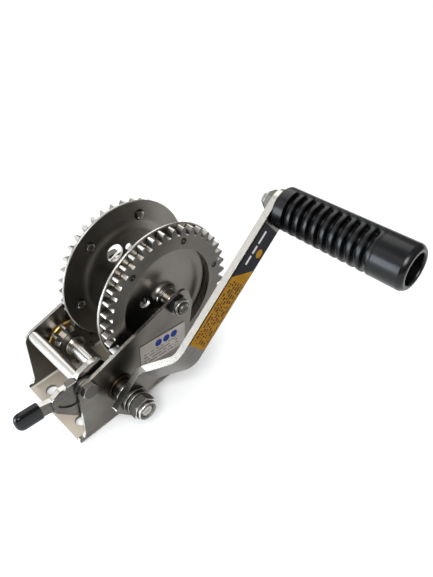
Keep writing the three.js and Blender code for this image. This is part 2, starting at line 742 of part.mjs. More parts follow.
// A dipped sleeve with a closed, rounded end over the lever's handle.
function pawlCap() {
  const outline = roundedOutline([[-57.8, -4, 6], [-57.8, 12.6, 6], [-37, 10.6, 1], [-37, -5.6, 1]]);
  const pocket = roundedOutline([[-55.4, -2.4, 2], [-55.4, 10.9, 2], [-36, 8.6, 0.2], [-36, -4.1, 0.2]]);
  const [near, far] = [PAWL_NEAR_FACE, PAWL_NEAR_FACE + PAWL_THICKNESS];
  const shell = extrudeY(outline, near - 1.7, far + 1.7);
  return shell.subtract(extrudeY(pocket, near - GAP, far + GAP));
}

// A hairpin of spring wire: a turn round the pivot and a leg along the lever.
function pawlSpring() {
  const y = (CHEEK_NEAR_FACE - PLATE_INNER) / 2;
  const leg = [[-24.5, -3], [-19, -8.6], [-12, -11.4], [-3.6, -10.2]];
  const turn = [...Array(21).keys()].map((i) => {
    const angle = THREE.MathUtils.degToRad(250 - i * 15);
    return [SPRING_TURN_RADIUS * Math.cos(angle), SPRING_TURN_RADIUS * Math.sin(angle)];
  });
  const path = new THREE.CatmullRomCurve3([...leg, ...turn].map(([x, z]) => new THREE.Vector3(x, y, z)));
  const section = new THREE.Shape();
  section.absarc(0, 0, SPRING_WIRE_RADIUS, 0, 2 * Math.PI);
  return solid(new THREE.ExtrudeGeometry(section, { steps: 44, extrudePath: path, curveSegments: 3 }));
}

function pawlParts() {
  const place = (shape) => moved(shape, PAWL.x, PAWL.z);
  const seat = FRAME_HALF + GAP;
  const bore = PAWL_BOLT_RADIUS + GAP;
  const spacerStart = PAWL_NEAR_FACE + PAWL_THICKNESS + GAP;
  const spacer = tube(PAWL_SPACER_RADIUS, bore, spacerStart, PLATE_INNER - GAP);
  return [
    toMesh('pawl_lever', place(pawlLever()), BRIGHT()),
    toMesh('pawl_cap', place(pawlCap()), VINYL()),
    toMesh('pawl_spring', place(pawlSpring()), SPRING_STEEL()),
    toMesh('pawl_cheek', place(pawlCheek()), STEEL()),
    toMesh('pawl_washer', place(tube(8, bore, -PLATE_INNER + GAP, CHEEK_NEAR_FACE - GAP)), BRIGHT()),
    toMesh('pawl_spacer', place(spacer), BRIGHT()),
    toMesh('pawl_bolt', place(hexBolt(PAWL_BOLT_RADIUS, 13, -seat, 4.6, FRAME_HALF + 0.9)), BRIGHT()),
  ];
}

function ratingLabel() {
  const corners = [[-24.5, -12.2], [24.5, -12.2], [24.5, 12.2], [-24.5, 12.2]];
  const outline = roundedOutline(corners.map(([x, z]) => [x, z, 1]));
  const face = -FRAME_HALF - GAP;
  const plate = extrudeY(outline, face - 0.3, face, 3).rotate([0, 7, 0]);
  return moved(plate, 43.6, 45);
}

function drumParts() {
  const sides = { near: -1, far: 1 };
  const parts = [toMesh('drum_hub', drumHub(), BRIGHT())];
  Object.entries(sides).forEach(([label, side]) => {
    parts.push(toMesh(`drum_flange_${label}`, drumFlange(side), STEEL()));
    parts.push(toMesh(`ring_gear_${label}`, ringGear(side), STEEL()));
    rivetSpots().forEach((spot, i) => {
      parts.push(toMesh(`rivet_${label}_${i + 1}`, rivet(side, spot), STEEL()));
    });
  });
  return parts;
}

const group = new THREE.Group();
group.add(
  toMesh('frame', frame(), STEEL()),
  toMesh('rating_label', ratingLabel(), LABEL_GREY()),
  ...drumParts(),
  ...axleParts(),
  ...crankShaftParts(),
  ...armParts(),
  ...pawlParts(),
);

export default group;
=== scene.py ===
"""Looks for a hand-cranked boat trailer winch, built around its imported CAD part.

Blender units are metres. The mesh helpers work in millimetres, about an axle along Y, and piece() scales
what they make.
"""

import contextlib
import json
import math

import bmesh
import bpy
from mathutils import Matrix, Vector


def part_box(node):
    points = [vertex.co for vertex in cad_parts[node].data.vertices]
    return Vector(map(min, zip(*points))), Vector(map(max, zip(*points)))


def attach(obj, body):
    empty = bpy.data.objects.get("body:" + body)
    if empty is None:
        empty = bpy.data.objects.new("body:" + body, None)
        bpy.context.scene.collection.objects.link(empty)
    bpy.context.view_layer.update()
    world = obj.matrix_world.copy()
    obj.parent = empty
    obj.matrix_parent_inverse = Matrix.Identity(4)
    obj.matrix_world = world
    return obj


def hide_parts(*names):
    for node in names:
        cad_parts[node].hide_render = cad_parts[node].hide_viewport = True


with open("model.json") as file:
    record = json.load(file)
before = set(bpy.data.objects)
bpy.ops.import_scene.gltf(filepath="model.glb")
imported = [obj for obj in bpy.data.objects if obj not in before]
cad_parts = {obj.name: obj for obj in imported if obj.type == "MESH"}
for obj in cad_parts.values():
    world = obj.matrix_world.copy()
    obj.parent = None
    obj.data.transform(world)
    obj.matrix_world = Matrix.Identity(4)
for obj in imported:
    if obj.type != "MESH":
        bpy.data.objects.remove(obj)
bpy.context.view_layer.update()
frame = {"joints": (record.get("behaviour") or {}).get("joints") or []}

MM = 0.001


# ---- Where things are ----
def axis_of(joint_name):
    """The (x, z) of a joint's axle, in millimetres."""
    joint = next(j for j in frame["joints"] if j["name"] == joint_name)
    x, _, z = joint["pos_m"]
    return x / MM, z / MM


def span(node):
    """A CAD node's lowest and highest corner, in millimetres."""
    low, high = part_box(node)
    return low / MM, high / MM


DRUM = axis_of("drum_spin")
CRANK = axis_of("crank_spin")
GRIP = axis_of("grip_spin")
PAWL = axis_of("pawl_swing")
ARM_ANGLE = math.atan2(GRIP[1] - CRANK[1], GRIP[0] - CRANK[0])
ARM_REACH = math.hypot(GRIP[1] - CRANK[1], GRIP[0] - CRANK[0])
CRANK_NUT_TURN = math.radians(36)  # from the arm's own line

# ---- Fastener sizes: radii, and widths across flats ----
RADIUS_M8, RADIUS_M10, RADIUS_M12 = 4, 5, 5.9
HOLE_M8, HOLE_M10 = 4.3, 5.3
FLATS_M8, FLATS_M10, FLATS_M12 = 13, 17, 19
JOURNAL = 7.5
JOURNAL_BORE = 7.8
RIVET_HOLE = 2.9
FIT = 0.3  # the gap that the CAD leaves between neighbours


# ---- Mesh helpers ----
@contextlib.contextmanager
def edited(mesh):
    """A bmesh of the mesh, written back when the block ends."""
    bm = bmesh.new()
    bm.from_mesh(mesh)
    yield bm
    bm.to_mesh(mesh)
    bm.free()


def tidy_mesh(mesh, merge=0.002):
    """Merges doubled points and turns all faces outward."""
    with edited(mesh) as bm:
        bmesh.ops.remove_doubles(bm, verts=bm.verts, dist=merge)
        bmesh.ops.recalc_face_normals(bm, faces=bm.faces)
    return mesh


def new_mesh(verts, faces):
    mesh = bpy.data.meshes.new("part")
    mesh.from_pydata(verts, [], faces)
    return tidy_mesh(mesh)


def link(obj):
    bpy.context.scene.collection.objects.link(obj)


def evaluated(obj):
    """The mesh that an object's modifiers or curve settings make; the object is then removed."""
    link(obj)
    graph = bpy.context.evaluated_depsgraph_get()
    mesh = bpy.data.meshes.new_from_object(obj.evaluated_get(graph))
    bpy.data.objects.remove(obj)
    return mesh


def polar(radius, angle):
    return radius * math.cos(angle), radius * math.sin(angle)


def circle(x, z, radius, steps=48):
    spots = [polar(radius, 2 * math.pi * i / steps) for i in range(steps)]
    return [(x + a, z + b) for a, b in spots]


def ring_points(radius, y, segments):
    """A circle of points about Y."""
    return [(x, y, z) for x, z in circle(0, 0, radius, segments)]


def box_outline(x0, z0, x1, z1):
    return [(x0, z0), (x1, z0), (x1, z1), (x0, z1)]


def tube_faces(rows, around, closed=False):
    """Quads between rows of points that each go once round. An open tube gets a face at each end."""
    faces = []
    for k in range(rows if closed else rows - 1):
        here, after = k * around, (k + 1) % rows * around
        for i in range(around):
            j = (i + 1) % around
            faces.append((here + i, here + j, after + j, after + i))
    if not closed:
        faces += [list(range(around)), list(range((rows - 1) * around, rows * around))]
    return faces


def lathe(section, segments=96):
    """A closed section of (radius, y) turned about Y."""
    verts, rings, faces = [], [], []
    for radius, y in section:
        if radius < 1e-6:
            rings.append([len(verts)] * segments)
            verts.append((0, y, 0))
            continue
        rings.append(list(range(len(verts), len(verts) + segments)))
        verts += ring_points(radius, y, segments)
    for k, ring in enumerate(rings):
        after = rings[(k + 1) % len(rings)]
        for i in range(segments):
            j = (i + 1) % segments
            face = list(dict.fromkeys((ring[i], ring[j], after[j], after[i])))
            if len(face) > 2:
                faces.append(face)
    return new_mesh(verts, faces)


def rounded(corners, radius=0.0, steps=6):
    """A closed line through corners (a, b) or (a, b, own radius), each rounded off."""
    points = []
    for i, corner in enumerate(corners):
        reach = corner[2] if len(corner) > 2 else radius
        here = Vector(corner[:2])
        before = Vector(corners[i - 1][:2]) - here
        after = Vector(corners[(i + 1) % len(corners)][:2]) - here
        reach = min(reach, 0.49 * before.length, 0.49 * after.length)
        if reach <= 0:
            points.append(tuple(here))
            continue
        start = here + before.normalized() * reach
        end = here + after.normalized() * reach
        for k in range(steps + 1):
            t = k / steps
            points.append(tuple((1 - t) ** 2 * start + 2 * t * (1 - t) * here + t * t * end))
    return points


def area_of(loop):
    return sum(a[0] * b[1] - b[0] * a[1] for a, b in zip(loop, loop[1:] + loop[:1])) / 2


UPRIGHT = ((1, 0, 0), (0, 0, -1), (0, 1, 0))


def plate(outline, y0, y1, holes=(), bevel=0.3, resolution=1):
    """A flat solid between y0 and y1 inside an outline of (x, z), with holes and broken edges."""
    curve = bpy.data.curves.new("outline", "CURVE")
    curve.dimensions = "2D"
    curve.fill_mode = "BOTH"
    for k, loop in enumerate((outline, *holes)):
        if (area_of(loop) > 0) != (k == 0):
            loop = loop[::-1]
        spline = curve.splines.new("POLY")
        spline.points.add(len(loop) - 1)
        for point, (a, b) in zip(spline.points, loop):
            point.co = (a, b, 0, 1)
        spline.use_cyclic_u = True
    curve.bevel_depth = bevel
    curve.bevel_resolution = resolution
    curve.offset = -bevel
    curve.extrude = abs(y1 - y0) / 2 - bevel
    mesh = evaluated(bpy.data.objects.new("outline", curve))
    bpy.data.curves.remove(curve)
    mesh.transform(Matrix.Translation((0, (y0 + y1) / 2, 0)) @ Matrix(UPRIGHT).to_4x4())
    return tidy_mesh(mesh)


def boolean(mesh, tools, operation="DIFFERENCE"):
    """The mesh cut by, joined with or kept inside each of the tools in turn."""
    for tool in tools:
        target = bpy.data.objects.new("target", mesh)
        other = bpy.data.objects.new("tool", tool)
        link(other)
        modifier = target.modifiers.new("cut", "BOOLEAN")
        modifier.operation = operation
        modifier.solver = "EXACT"
        modifier.object = other
        mesh = evaluated(target)
        bpy.data.objects.remove(other)
    return mesh


def rod(radius, y0, y1, x=0.0, z=0.0, segments=48):
    """A plain round tool for cutting holes."""
    mesh = lathe([(0, y0), (radius, y0), (radius, y1), (0, y1)], segments)
    mesh.transform(Matrix.Translation((x, 0, z)))
    return mesh


def joined(meshes):
    """Several meshes as one, each still its own closed shell."""
    bm = bmesh.new()
    for mesh in meshes:
        bm.from_mesh(mesh)
    result = bpy.data.meshes.new("joined")
    bm.to_mesh(result)
    bm.free()
    return result


def bevelled(mesh, width, segments=2, degrees=35):
    """The mesh with its sharp edges rounded by a width."""
    obj = bpy.data.objects.new("bevel", mesh)
    modifier = obj.modifiers.new("bevel", "BEVEL")
    modifier.width = width
    modifier.segments = segments
    modifier.limit_method = "ANGLE"
    modifier.angle_limit = math.radians(degrees)
    modifier.use_clamp_overlap = True
    return evaluated(obj)


def thread(radius, y0, y1, pitch, segments=40, rows_per_turn=8):
    """A screw thread about Y with chamfered ends."""
    depth = 0.55 * pitch
    rows = max(2, round(abs(y1 - y0) / pitch * rows_per_turn))
    verts = []
    for k in range(rows + 1):
        y = y0 + (y1 - y0) * k / rows
        from_end = min(abs(y - y0), abs(y1 - y))
        limit = radius - max(0.0, 0.8 * pitch - from_end)
        for i in range(segments):
            phase = (y / pitch + i / segments) % 1
            crest = abs(2 * phase - 1)
            r = min(limit, radius - depth * crest * crest * (3 - 2 * crest))
            x, z = polar(r, 2 * math.pi * i / segments)
            verts.append((x, y, z))
    return new_mesh(verts, tube_faces(rows + 1, segments))


def hexagon(across, y0, y1, chamfer_at, chamfer=0.12):
    """A hexagon about Y whose corners are turned off at the ends in chamfer_at."""
    corner = across / math.sqrt(3)
    low, high = min(y0, y1), max(y0, y1)
    prism = plate([polar(corner, i * math.pi / 3) for i in range(6)], low, high, bevel=0.12)
    fall = corner * chamfer
    cut_low = fall if low in chamfer_at else 0
    cut_high = fall if high in chamfer_at else 0
    full = corner + 0.5
    flat = across / 2 * 0.97
    section = [(0, low)]
    section += [(flat, low), (full, low + cut_low * 1.4)] if cut_low else [(full, low)]
    section += [(full, high - cut_high * 1.4), (flat, high)] if cut_high else [(full, high)]
    section += [(0, high)]
    return boolean(prism, [lathe(section, 72)], "INTERSECT")


def cap_marks(radius, y, count):
    """Staking grooves across a rod's end, as cutters."""
    reach, half, depth = radius * 0.75, 0.28, 0.35
    cutters = []
    for k in range(count):
        groove = plate(box_outline(-reach, -half, reach, half), y - depth, y + depth, bevel=0.05)
        groove.transform(Matrix.Rotation(math.pi * k / count, 4, "Y"))
        cutters.append(groove)
    return cutters


# ---- Material helpers ----
class Shader:
    """A node material around one Principled shader. Its methods give output sockets."""

    def __init__(self, name, **values):
        self.material = bpy.data.materials.new(name)
        self.material.use_nodes = True
        self.nodes = self.material.node_tree.nodes
        self.links = self.material.node_tree.links
        self.bsdf = self.nodes["Principled BSDF"]
        for key, value in values.items():
            self.bsdf.inputs[key.replace("_", " ").title().replace("Ior", "IOR")].default_value = value
        self.coords = self.node("ShaderNodeTexCoord").outputs["Object"]

    def node(self, kind, inputs=(), **settings):
        node = self.nodes.new(kind)
        for key, value in settings.items():
            setattr(node, key, value)
        for key, value in dict(inputs).items():
            if isinstance(value, bpy.types.NodeSocket):
                self.links.new(value, node.inputs[key])
            else:
                node.inputs[key].default_value = value
        return node

    def math(self, operation, a, b=0.0, c=0.0, clamp=False):
        inputs = {0: a, 1: b, 2: c}
        return self.node("ShaderNodeMath", inputs, operation=operation, use_clamp=clamp).outputs[0]

    def times(self, a, b, clamp=False):
        return self.math("MULTIPLY", a, b, clamp=clamp)

    def scaled(self, a, factor, added, clamp=False):
        return self.math("MULTIPLY_ADD", a, factor, added, clamp)

    def vector(self, operation, a, b=(0, 0, 0), output=0):
        return self.node("ShaderNodeVectorMath", {0: a, 1: b}, operation=operation).outputs[output]

    def component(self, vector, index):
        return self.node("ShaderNodeSeparateXYZ", {0: vector}).outputs[index]

    def noise(self, scale, detail=2.0, rough=0.5, coords=None, distortion=0.0):
        inputs = {
            "Vector": coords or self.coords,
            "Scale": scale,
            "Detail": detail,
            "Roughness": rough,
            "Distortion": distortion,
        }
        return self.node("ShaderNodeTexNoise", inputs).outputs["Fac"]

    def stretched(self, x, y, z):
        return self.vector("MULTIPLY", self.coords, (x, y, z))

    def turned(self, centre, along=0.05, sweep=0.0006):
        """Coordinates that hardly change round an axle: distance from it, and a little of y and the angle."""
        moved = self.vector("SUBTRACT", self.coords, (centre[0] * MM, 0, centre[1] * MM))
        flat = self.vector("MULTIPLY", moved, (1, 0, 1))
        distance = self.vector("LENGTH", flat, output="Value")
        swept = self.vector("NORMALIZE", flat)
        x = self.scaled(self.component(swept, 0), sweep, distance)
        side = self.times(self.component(moved, 1), along)
        y = self.scaled(self.component(swept, 2), sweep, side)
        return self.node("ShaderNodeCombineXYZ", {0: x, 1: y}).outputs[0]

    def span(self, value, low, high, to_low=0.0, to_high=1.0):
        inputs = {"Value": value, "From Min": low, "From Max": high, "To Min": to_low, "To Max": to_high}
        return self.node("ShaderNodeMapRange", inputs).outputs["Result"]

    def mix(self, factor, a, b):
        a, b = (c if isinstance(c, bpy.types.NodeSocket) else (*c, 1) for c in (a, b))
        return self.node("ShaderNodeMix", {0: factor, 6: a, 7: b}, data_type="RGBA").outputs[2]

    def attribute(self, name, output="Fac"):
        return self.node("ShaderNodeAttribute", attribute_name=name).outputs[output]

    def set(self, socket, value):
        self.links.new(value, self.bsdf.inputs[socket])

    def bump(self, height, distance, strength):
        inputs = {"Height": height, "Distance": distance, "Strength": strength}
        self.set("Normal", self.node("ShaderNodeBump", inputs).outputs["Normal"])


BASE_TOP_TONE = (0.36, 0.31, 0.245)  # the paler, less metallic tone of the base's upper side
GRAIN_DEPTH = 0.000004
MOULD_DEPTH = 0.00002
PRINT_DEPTH = 0.00001
SHEET = 3


def steel(name, dark, light, edge, roughness, grain, shade=None, matt=None, metallic=1.0):
    """A metal with cloudy tone, directional grain, fine scratches and brighter worn edges.

    shade(shader) is 1 where shade is painted on as a much darker tone, and matt(shader) is 1 where the metal
    turns paler and less metallic.
    """
    shader = Shader(name, metallic=metallic)
    coords = grain(shader)
    cloud = shader.span(shader.noise(22.0, 3.0, 0.5), 0.32, 0.68)
    lines = shader.noise(1.0, 3.0, 0.65, coords)
    specks = shader.noise(2200.0, 2.0)
    thin = shader.vector("MULTIPLY", coords, (0.37, 0.11, 0.41))
    scratch = shader.span(shader.noise(1.0, 1.0, 0.4, thin, 0.6), 0.66, 0.74)
    tone = shader.mix(cloud, dark, light)
    # Painted shade: the tone turns much darker where the painted shade mask is 1.
    if shade:
        tone = shader.mix(shade(shader), tone, [0.16 * c for c in dark])
    tone = shader.mix(shader.span(lines, 0.3, 0.7, 0.0, 0.22), tone, [0.5 * c for c in dark])
    bright = [min(1, 1.6 * c) for c in light]
    tone = shader.mix(shader.times(scratch, 0.14), tone, bright)
    # The base's upward faces turn paler and less metallic.
    if matt:
        paler_top = matt(shader)
        tone = shader.mix(shader.times(paler_top, 0.9), tone, BASE_TOP_TONE)
        shader.set("Metallic", shader.scaled(paler_top, -0.8, 1.0))
    polish = shader.attribute("polish")
    patchy = shader.span(shader.noise(260.0, 3.0), 0.25, 0.5, 0.82, 1.0)
    worn = shader.times(polish, patchy, clamp=True)
    shader.set("Base Color", shader.mix(worn, tone, edge))
    rough = shader.scaled(lines, 0.08, roughness - 0.04)
    rough = shader.scaled(cloud, 0.06, rough)
    rough = shader.scaled(worn, -0.04, rough)
    shader.set("Roughness", shader.scaled(specks, 0.04, rough, clamp=True))
    height = shader.scaled(specks, 0.3, lines)
    shader.bump(height, GRAIN_DEPTH, 0.45)
    return shader.material


def base_floor(shader):
    """1 on the base sheet's upper side and 0 elsewhere."""
    height = shader.component(shader.coords, 2)
    upward = shader.component(shader.node("ShaderNodeTexCoord").outputs["Normal"], 2)
    low = shader.math("LESS_THAN", height, 2 * SHEET * MM)
    return shader.times(low, shader.math("GREATER_THAN", upward, 0.5))


def painted_recess_shade(shader):
    """Painted shade: 1 where the face's edge-wear value is nothing at all, as in the bottoms of marks, so
    that the steel is darkened there to stand in for shade.
    """
    return shader.span(shader.attribute("polish"), 0.0, 0.15, 1.0, 0.0)


def sheet_grain(shader):
    return shader.stretched(60, 500, 900)


def upright_grain(shader):
    return shader.stretched(900, 400, 70)


def turned_grain(centre, scale=1800):
    def grain(shader):
        return shader.vector("MULTIPLY", shader.turned(centre), (scale, scale, scale))

    return grain


def arm_grain(shader):
    """Grain along the arm: the coordinates turned to it."""
    inputs = {"Vector": shader.coords, "Rotation": (0, ARM_ANGLE, 0)}
    rotated = shader.node("ShaderNodeVectorRotate", inputs, rotation_type="EULER_XYZ").outputs[0]
    return shader.vector("MULTIPLY", rotated, (50, 300, 1100))


def plastic(name, colour, worn, roughness, scale, specular=0.5):
    """A dark moulded plastic: fine moulded texture, slight tone changes and paler rubbed edges."""
    shader = Shader(name, specular_ior_level=specular)
    fine = shader.noise(scale, 3.0, 0.6)
    broad = shader.span(shader.noise(60.0, 3.0), 0.3, 0.7)
    patchy = shader.span(shader.noise(300.0), 0.3, 0.8)
    rubbed = shader.times(shader.attribute("polish"), patchy, clamp=True)
    tone = shader.mix(broad, colour, [1.5 * c for c in colour])
    shader.set("Base Color", shader.mix(shader.times(rubbed, 0.25), tone, worn))
    rough = shader.scaled(broad, 0.06, roughness - 0.03)
    shader.set("Roughness", shader.scaled(fine, 0.05, rough, clamp=True))
    shader.bump(fine, MOULD_DEPTH, 0.4)
    return shader.material


def disc_mask(shader, u, v, centre, radius, edge=0.15):
    """1 inside a disc on a label and 0 outside it."""
    du = shader.math("SUBTRACT", u, centre[0])
    dv = shader.math("SUBTRACT", v, centre[1])
    squares = shader.math("ADD", shader.times(du, du), shader.times(dv, dv))
    return shader.span(shader.math("SQRT", squares), radius - edge, radius + edge, 1.0, 0.0)


def bar_mask(shader, u, v, low, high):
    """1 inside an upright box on a label and 0 outside it."""
    across = shader.times(shader.math("GREATER_THAN", u, low[0]), shader.math("LESS_THAN", u, high[0]))
    upward = shader.times(shader.math("GREATER_THAN", v, low[1]), shader.math("LESS_THAN", v, high[1]))
    return shader.times(across, upward)


def label(name, colour, draw, roughness=0.38):
    """A printed plastic label. draw(shader, u, v, tone) adds plain marks; u and v are millimetres on it."""
    shader = Shader(name, specular_ior_level=0.04, coat_weight=0.03, coat_roughness=0.25)
    panel = shader.attribute("panel", "Vector")
    u, v = shader.component(panel, 0), shader.component(panel, 1)
    broad = shader.span(shader.noise(90.0, 3.0), 0.3, 0.7)
    tone = shader.mix(broad, colour, [0.82 * c for c in colour])
    tone = draw(shader, u, v, tone)
    rubbed = shader.span(shader.noise(700.0, 4.0, 0.7), 0.62, 0.75)
    tone = shader.mix(shader.times(rubbed, 0.3), tone, [min(1.0, 1.5 * c) for c in colour])
    shader.set("Base Color", tone)
    shader.set("Roughness", shader.scaled(broad, 0.15, roughness))
    shader.bump(shader.noise(1600.0, 2.0), PRINT_DEPTH, 0.5)
    return shader.material


def fine_rows(shader, u, v, pitch, duty, run, seed, gap=0.46):
    """Rows of plain dashes of uneven length."""
    place = shader.math("DIVIDE", v, pitch)
    row = shader.math("FLOOR", place)
    in_row = shader.math("LESS_THAN", shader.math("FRACT", place), duty)
    parts = {0: shader.math("DIVIDE", u, run), 1: shader.scaled(row, 7.31, seed)}
    spot = shader.node("ShaderNodeCombineXYZ", parts).outputs[0]
    inputs = {"Vector": spot, "Scale": 1.0, "Detail": 1.0}
    dash = shader.node("ShaderNodeTexNoise", inputs, noise_dimensions="2D")
    return shader.times(in_row, shader.math("GREATER_THAN", dash.outputs["Fac"], gap))


def draw_rating(shader, u, v, tone):
    """Three plain discs over rows of plain dashes."""
    for x in (-5.0, 3.5, 12.0):
        tone = shader.mix(disc_mask(shader, u, v, (x, 6.0), 3.6), tone, (0.008, 0.022, 0.13))
    rows = fine_rows(shader, u, v, 3.2, 0.45, 2.6, 3.0)
    rows = shader.times(rows, bar_mask(shader, u, v, (-21, -10), (16, 1.2)))
    return shader.mix(shader.times(rows, 0.7), tone, (0.03, 0.03, 0.035))


AMBER = (0.25, 0.118, 0.002)
LABEL_BLACK = (0.008, 0.008, 0.011)
LABEL_SPLIT = (132, 0.6)  # where the two colours meet on the arm, and how far the border leans


def past_split(shader, u, v):
    """1 on the black side of the slanted border and 0 on the amber side."""
    border = shader.scaled(v, LABEL_SPLIT[1], u)
    return shader.math("GREATER_THAN", border, LABEL_SPLIT[0])


def draw_amber(shader, u, v, tone):
    rows = fine_rows(shader, u, v, 3.3, 0.62, 1.5, 9.0, 0.47)
    rows = shader.times(rows, bar_mask(shader, u, v, (66.5, -9.4), (124, 8.6)))
    tone = shader.mix(shader.times(rows, 0.9), tone, (0.012, 0.008, 0.004))
    return shader.mix(past_split(shader, u, v), tone, LABEL_BLACK)


def draw_black(shader, u, v, tone):
    """A plain disc and plain pale bars."""
    tone = shader.mix(disc_mask(shader, u, v, (152.0, -4.6), 3.8), tone, AMBER)
    for low, high in (((139, 2.6), (147, 5.0)), ((149, 2.6), (156, 5.0)), ((158, 2.6), (169, 5.0))):
        tone = shader.mix(bar_mask(shader, u, v, low, high), tone, (0.42, 0.42, 0.42))
    return shader.mix(past_split(shader, u, v), AMBER, tone)


WARM = (1.0, 0.93, 0.83)
EDGE_WARM = (1.0, 0.96, 0.89)


def metal(name, dark, light, edge, roughness, grain, **masks):
    """A steel whose three tones are given as greys; each is turned a little warm."""
    tones = [[tone * w for w in warm] for tone, warm in ((dark, WARM), (light, WARM), (edge, EDGE_WARM))]
    return steel(name, *tones, roughness, grain, **masks)


SHEET_STEEL = metal("sheet_steel", 0.105, 0.175, 0.50, 0.27, sheet_grain, matt=base_floor)
FLANGE_STEEL = metal("flange_steel", 0.135, 0.17, 0.42, 0.26, turned_grain(DRUM))
# Painted light: the far flange is the same steel as the near one, given a paler tone that stands in for the
# light inside the drum.
FAR_FLANGE_LIT_STEEL = metal("far_flange_lit_steel", 0.17, 0.24, 0.36, 0.32, turned_grain(DRUM))
GEAR_STEEL = metal("gear_steel", 0.10, 0.14, 0.58, 0.32, turned_grain(DRUM, 2600))
PINION_STEEL = metal("pinion_steel", 0.09, 0.15, 0.55, 0.28, turned_grain(CRANK))
BOLT_STEEL = metal("bolt_steel", 0.16, 0.24, 0.46, 0.28, upright_grain)
NUT_STEEL = metal("nut_steel", 0.07, 0.11, 0.54, 0.28, upright_grain)
# The rivet steel paints shade: it is darker in the bottoms of its marks and round its heads.
RIVET_STEEL = metal("rivet_steel", 0.10, 0.16, 0.56, 0.28, upright_grain, shade=painted_recess_shade)
DARK_STEEL = metal("dark_steel", 0.06, 0.11, 0.30, 0.30, upright_grain)
CHROME_STEEL = metal("chrome_steel", 0.40, 0.43, 0.46, 0.30, turned_grain(PAWL, 700))
SPACER_STEEL = metal("spacer_steel", 0.36, 0.46, 0.56, 0.20, turned_grain(DRUM))
SHAFT_STEEL = metal("shaft_steel", 0.34, 0.42, 0.56, 0.20, turned_grain(CRANK))
HUB_STEEL = metal("hub_steel", 0.12, 0.19, 0.52, 0.22, turned_grain(DRUM))
ARM_STEEL = metal("arm_steel", 0.10, 0.165, 0.40, 0.24, arm_grain)
PAWL_STEEL = metal("pawl_steel", 0.085, 0.14, 0.40, 0.26, sheet_grain)
WIRE_STEEL = metal("wire_steel", 0.012, 0.03, 0.12, 0.32, upright_grain)
BRASS_TONES = (0.16, 0.085, 0.018), (0.34, 0.20, 0.045), (0.50, 0.34, 0.11)
BRASS = steel("brass", *BRASS_TONES, 0.25, turned_grain(CRANK), metallic=0.55)
BRONZE_TONES = (0.035, 0.025, 0.016), (0.07, 0.05, 0.032), (0.07, 0.05, 0.03)
BRONZE = steel("bronze", *BRONZE_TONES, 0.30, turned_grain(CRANK))
GRIP_PLASTIC = plastic("grip_plastic", (0.0010, 0.0010, 0.0012), (0.008, 0.008, 0.009), 0.24, 1500.0, 0.26)
VINYL = plastic("vinyl", (0.0016, 0.0016, 0.0018), (0.008, 0.008, 0.008), 0.12, 500.0, 0.22)
NYLON = plastic("nylon", (0.10, 0.10, 0.09), (0.2, 0.2, 0.19), 0.45, 1200.0)
RATING_LABEL = label("rating_print", (0.30, 0.275, 0.25), draw_rating)
AMBER_LABEL = label("amber_print", AMBER, draw_amber)
BLACK_LABEL = label("black_print", LABEL_BLACK, draw_black, 0.30)


# ---- Pieces ----
def narrow_faces(face, limit=0.75):
    """Polished value of a face: 1 on the narrow faces that bevels leave."""
    if abs(face.normal.y) > 0.95:
        return 0.0
    longest = max(edge.calc_length() for edge in face.edges)
    return 1.0 if longest and face.calc_area() / longest < limit else 0.0


NUT_CREASE = 22  # degrees; lower than the usual crease, so that chamfers stay crisp
TOOTH_CREASE = 32


def piece(
    name, mesh, material, body, slot, nodes, at=(0, 0), turn=0.0, polish=narrow_faces, sharp=38, panel=None
):
    """Finishes a mesh in millimetres as a named piece that rides on a body and stands for CAD nodes.

    polish(face) is how bright its edge wear is; a low value also stands for painted shade on the rivets and
    at the arm's hub end. panel(co) gives a label's own coordinates.
    """
    with edited(mesh) as bm:
        bmesh.ops.dissolve_degenerate(bm, dist=0.001, edges=bm.edges)
        polished = [polish(face) for face in bm.faces]
    mesh.attributes.new("polish", "FLOAT", "FACE").data.foreach_set("value", polished)
    if panel:
        flat = [c for v in mesh.vertices for c in (*panel(v.co), 0.0)]
        mesh.attributes.new("panel", "FLOAT_VECTOR", "POINT").data.foreach_set("vector", flat)
    place = Matrix.Translation((at[0], 0, at[1])) @ Matrix.Rotation(-turn, 4, "Y")
    mesh.transform(Matrix.Scale(MM, 4) @ place)
    mesh.materials.clear()
    mesh.materials.append(material)
    mesh.shade_smooth()
    mesh.set_sharp_from_angle(angle=math.radians(sharp))
    mesh.name = name
    obj = bpy.data.objects.new(name, mesh)
    link(obj)
    weighted = obj.modifiers.new("weighted", "WEIGHTED_NORMAL")
    weighted.keep_sharp = True
    weighted.weight = 60
    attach(obj, body)
    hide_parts(*nodes)


def stand_in(node, kind, mesh, material, body, slot="bright_steel", **finish):
    """A piece that stands for one CAD node and is named after it."""
    piece(f"{node}_{kind}", mesh, material, body, slot, [node], **finish)


def everything(value):
    return lambda face: value


def build_label(node, low, high, corner, material, body, slot, at, turn):
    """A thin rounded foil between two corners (x, z), which its print counts millimetres from."""
    near, far = span(node)
    foil = plate(rounded(box_outline(*low, *high), corner), near.y, far.y, bevel=0.08)
    place = {"at": at, "turn": turn, "panel": lambda co: (co.x, co.z)}
    stand_in(node, "print", foil, material, body, slot, **place)


# ---- Frame ----
BASE_HALF = 52
FRAME_HALF = span("frame")[1].y


def side_outline():
    return rounded([
        (-BASE_HALF, -1, 0), (BASE_HALF, -1, 1), (BASE_HALF + 16.7, 23, 14),
        (BASE_HALF + 28.9, 69.6, 0.5), (BASE_HALF + 24.8, 90.2, 16), (-38.9, 59.4, 7),
        (-44.8, 10.5, 2), (-47.2, 6.2, 1), (-BASE_HALF, 7.6, 1),
    ], steps=14)


